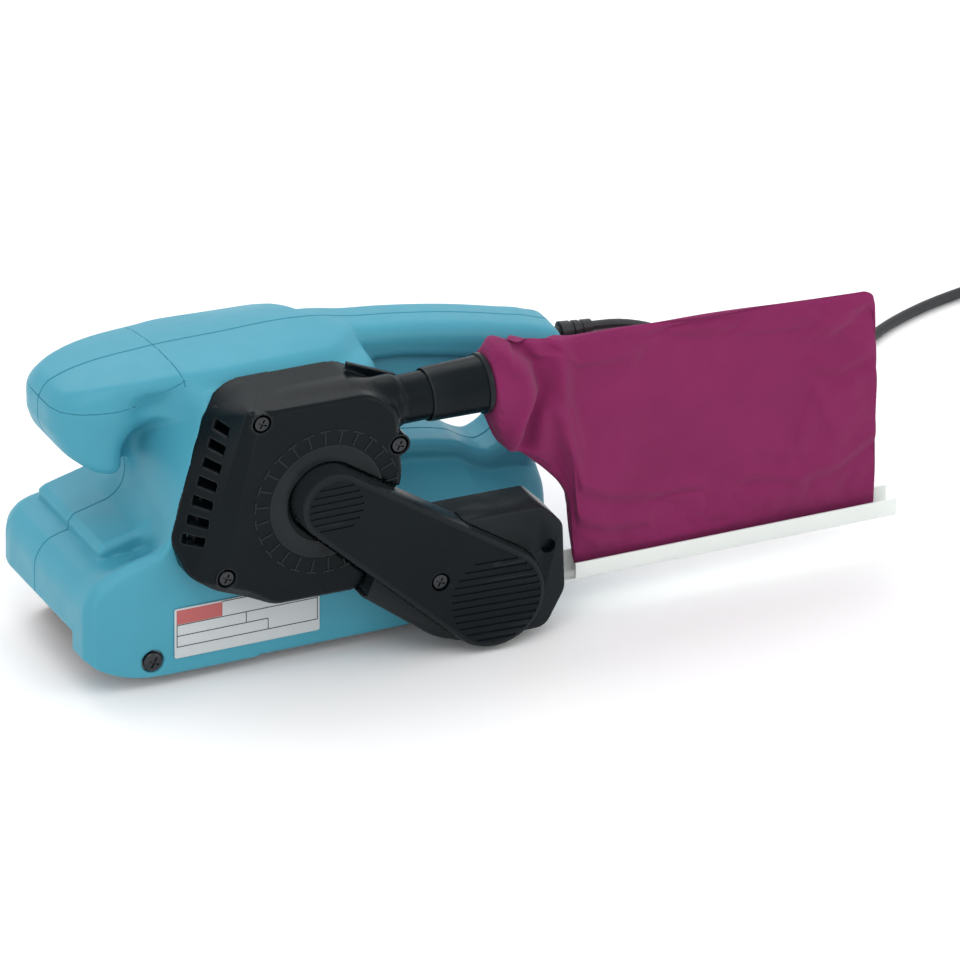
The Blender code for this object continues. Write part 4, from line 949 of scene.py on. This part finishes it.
def bag_rings():
    """Rings of points from a round neck to a flat envelope, spread by height."""
    along = np.concatenate([np.linspace(68.2, 82, 10), np.linspace(84, 264, 76), [265.5, 266.6]])
    a = np.arange(BAG_AROUND) / BAG_AROUND * math.tau
    height = 0.5 + 0.5 * np.sin(a)
    across = np.cos(a) / np.maximum(np.abs(np.cos(a)), 0.25) * np.minimum(1, np.abs(np.cos(a)) * 4)
    swell = np.sqrt(np.clip(4 * height * (1 - height), 0, 1))
    belly = np.interp(height, [0, 0.08, 0.35, 0.65, 0.9, 1], [0.8, 1.6, 6.5, 9, 5.5, 1.2])
    rings = []
    for x in along:
        high, low = (float(np.interp(x, *zip(*line))) for line in (BAG_TOP, BAG_FOOT))
        roundness = 1 - float(ramp(x, 70, 112))
        closing = 0.25 + 0.75 * math.sqrt(max(0.0, min(1.0, (267.2 - x) / 26)))
        half = roundness * min((high - low) / 2, 15) * swell + (1 - roundness) * np.minimum(
            belly * closing, 20 * swell + 0.5)
        rings.append(np.stack([np.full(BAG_AROUND, x), SPOUT_Y + half * across, low + (high - low) * height],
                1))
    return rings


def settle(bag, points):
    """Relaxes the bag as cloth that is held at its neck, top seam and hem."""
    held = bag.vertex_groups.new(name="held")
    for k, (x, _, z) in enumerate(points):
        if x < 69 or z < 27 or z > np.interp(x, *zip(*BAG_TOP)) - 2.5:
            held.add([k], 1.0, "REPLACE")
    cloth = bag.modifiers.new("cloth", "CLOTH")
    setting = cloth.settings
    setting.vertex_group_mass = "held"
    setting.quality = 6
    setting.mass = 0.05
    setting.tension_stiffness = setting.compression_stiffness = 30
    setting.shear_stiffness = 12
    setting.bending_stiffness = 0.6
    setting.shrink_min = -0.025
    setting.use_pressure = True
    setting.uniform_pressure_force = 0.5
    setting.effector_weights.gravity = 0.0
    cloth.collision_settings.use_self_collision = False
    scene = bpy.context.scene
    scene.frame_start, scene.frame_end = 1, CLOTH_FRAMES
    cloth.point_cache.frame_start, cloth.point_cache.frame_end = 1, CLOTH_FRAMES
    for number in range(1, CLOTH_FRAMES + 1):
        scene.frame_set(number)
    settled = np.empty(len(points) * 3)
    graph = bpy.context.evaluated_depsgraph_get()
    bag.evaluated_get(graph).to_mesh().vertices.foreach_get("co", settled)
    bag.modifiers.clear()
    move = settled.reshape(-1, 3) / MM - points
    far = np.linalg.norm(move, axis=1, keepdims=True)
    settled = points + move * np.minimum(1, MOST_MOVE / np.maximum(far, 1e-6))
    bag.data.vertices.foreach_set("co", (settled * MM).ravel())
    scene.frame_set(1)


def dust_bag():
    """A sewn cloth bag with folds near the neck and seeded ripples, relaxed as cloth."""
    rings = bag_rings()
    points = np.concatenate(rings)
    x, y, z = points.T
    side = np.sign(y - SPOUT_Y)
    inside = np.clip((z - 30) / 15, 0, 1) * np.clip((x - 70) / 6, 0, 1)
    push = 5.0 * near_line(x + 8, z, NECK_FOLD, 5) - 7.0 * near_line(x, z, NECK_FOLD, 4)
    push += 2.4 * near_line(x - 6, z, SIDE_FOLD, 5) - 2.6 * near_line(x, z, SIDE_FOLD, 3)
    for fold in LOW_FOLDS:
        push += 2.2 * near_line(x, z - 4, fold, 4) - 2.4 * near_line(x, z, fold, 2.6)
    rng = np.random.default_rng(7)
    for _ in range(14):
        fx, fz, phase, amount = (
            rng.uniform(*span) for span in ((0.02, 0.09), (0.02, 0.09), (0, 6.28), (0.15, 0.45)))
        push += amount * np.sin(x * fx + z * fz * rng.choice([-1, 1]) + phase)
    points[:, 1] += side * push * inside
    bag = mesh_object("cloth_bag", points, tube_faces(len(rings), BAG_AROUND), 180)
    settle(bag, points)
    smooth = bag.modifiers.new("smooth", "SUBSURF")
    smooth.levels = smooth.render_levels = 1
    graph = bpy.context.evaluated_depsgraph_get()
    mesh = bpy.data.meshes.new_from_object(bag.evaluated_get(graph))
    bag.modifiers.clear()
    bag.data = mesh
    mesh.shade_smooth()
    finish_piece(bag, "dust_bag", "bag_cloth", ["dust_bag"])


# Tracking spring and carried-over parts ------------------------------------------------
def belt_spring():
    """The tracking carriage's spring at one fixed length, though the real one shortens as the carriage slides
    back.
    """
    start, length, turns, mean_r, wire_r, axis_z = -48.9, 27.8, 7, 4.0, 0.7, 18.5
    per_turn, sides = 24, 10
    rings = turns * per_turn + 1
    points = []
    for k in range(rings):
        t = k / (rings - 1)
        a = math.tau * turns * t
        for j in range(sides):
            b = math.tau * j / sides
            r = mean_r + wire_r * math.cos(b)
            points.append((start + length * t + wire_r * math.sin(b), r * math.cos(a),
                    axis_z + r * math.sin(a)))
    made = mesh_object("tension_coil", points, tube_faces(rings, sides))
    finish_piece(made, "housing", "bright_steel", ["tension_spring"])
    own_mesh(made)


def carried_over():
    """CAD nodes whose shape is right keep it and get their finishes here."""
    for part in frame["record"]["subparts"]:
        node = frame["nodes"][part["node"]]
        node.data.materials.clear()
        node.data.materials.append(LOOKS[part["material_slot"]])
        shaded(node.data, 32)


carried_over()
for shell, node in zip(housing(), ("housing_left", "housing_right")):
    finish_piece(shell, "housing", "teal_housing", [node])
fan_cover()
cover_ribs()
drive_covers()
screws()
label()
lead()
nozzle_and_clip()
belt_spring()
dust_bag()
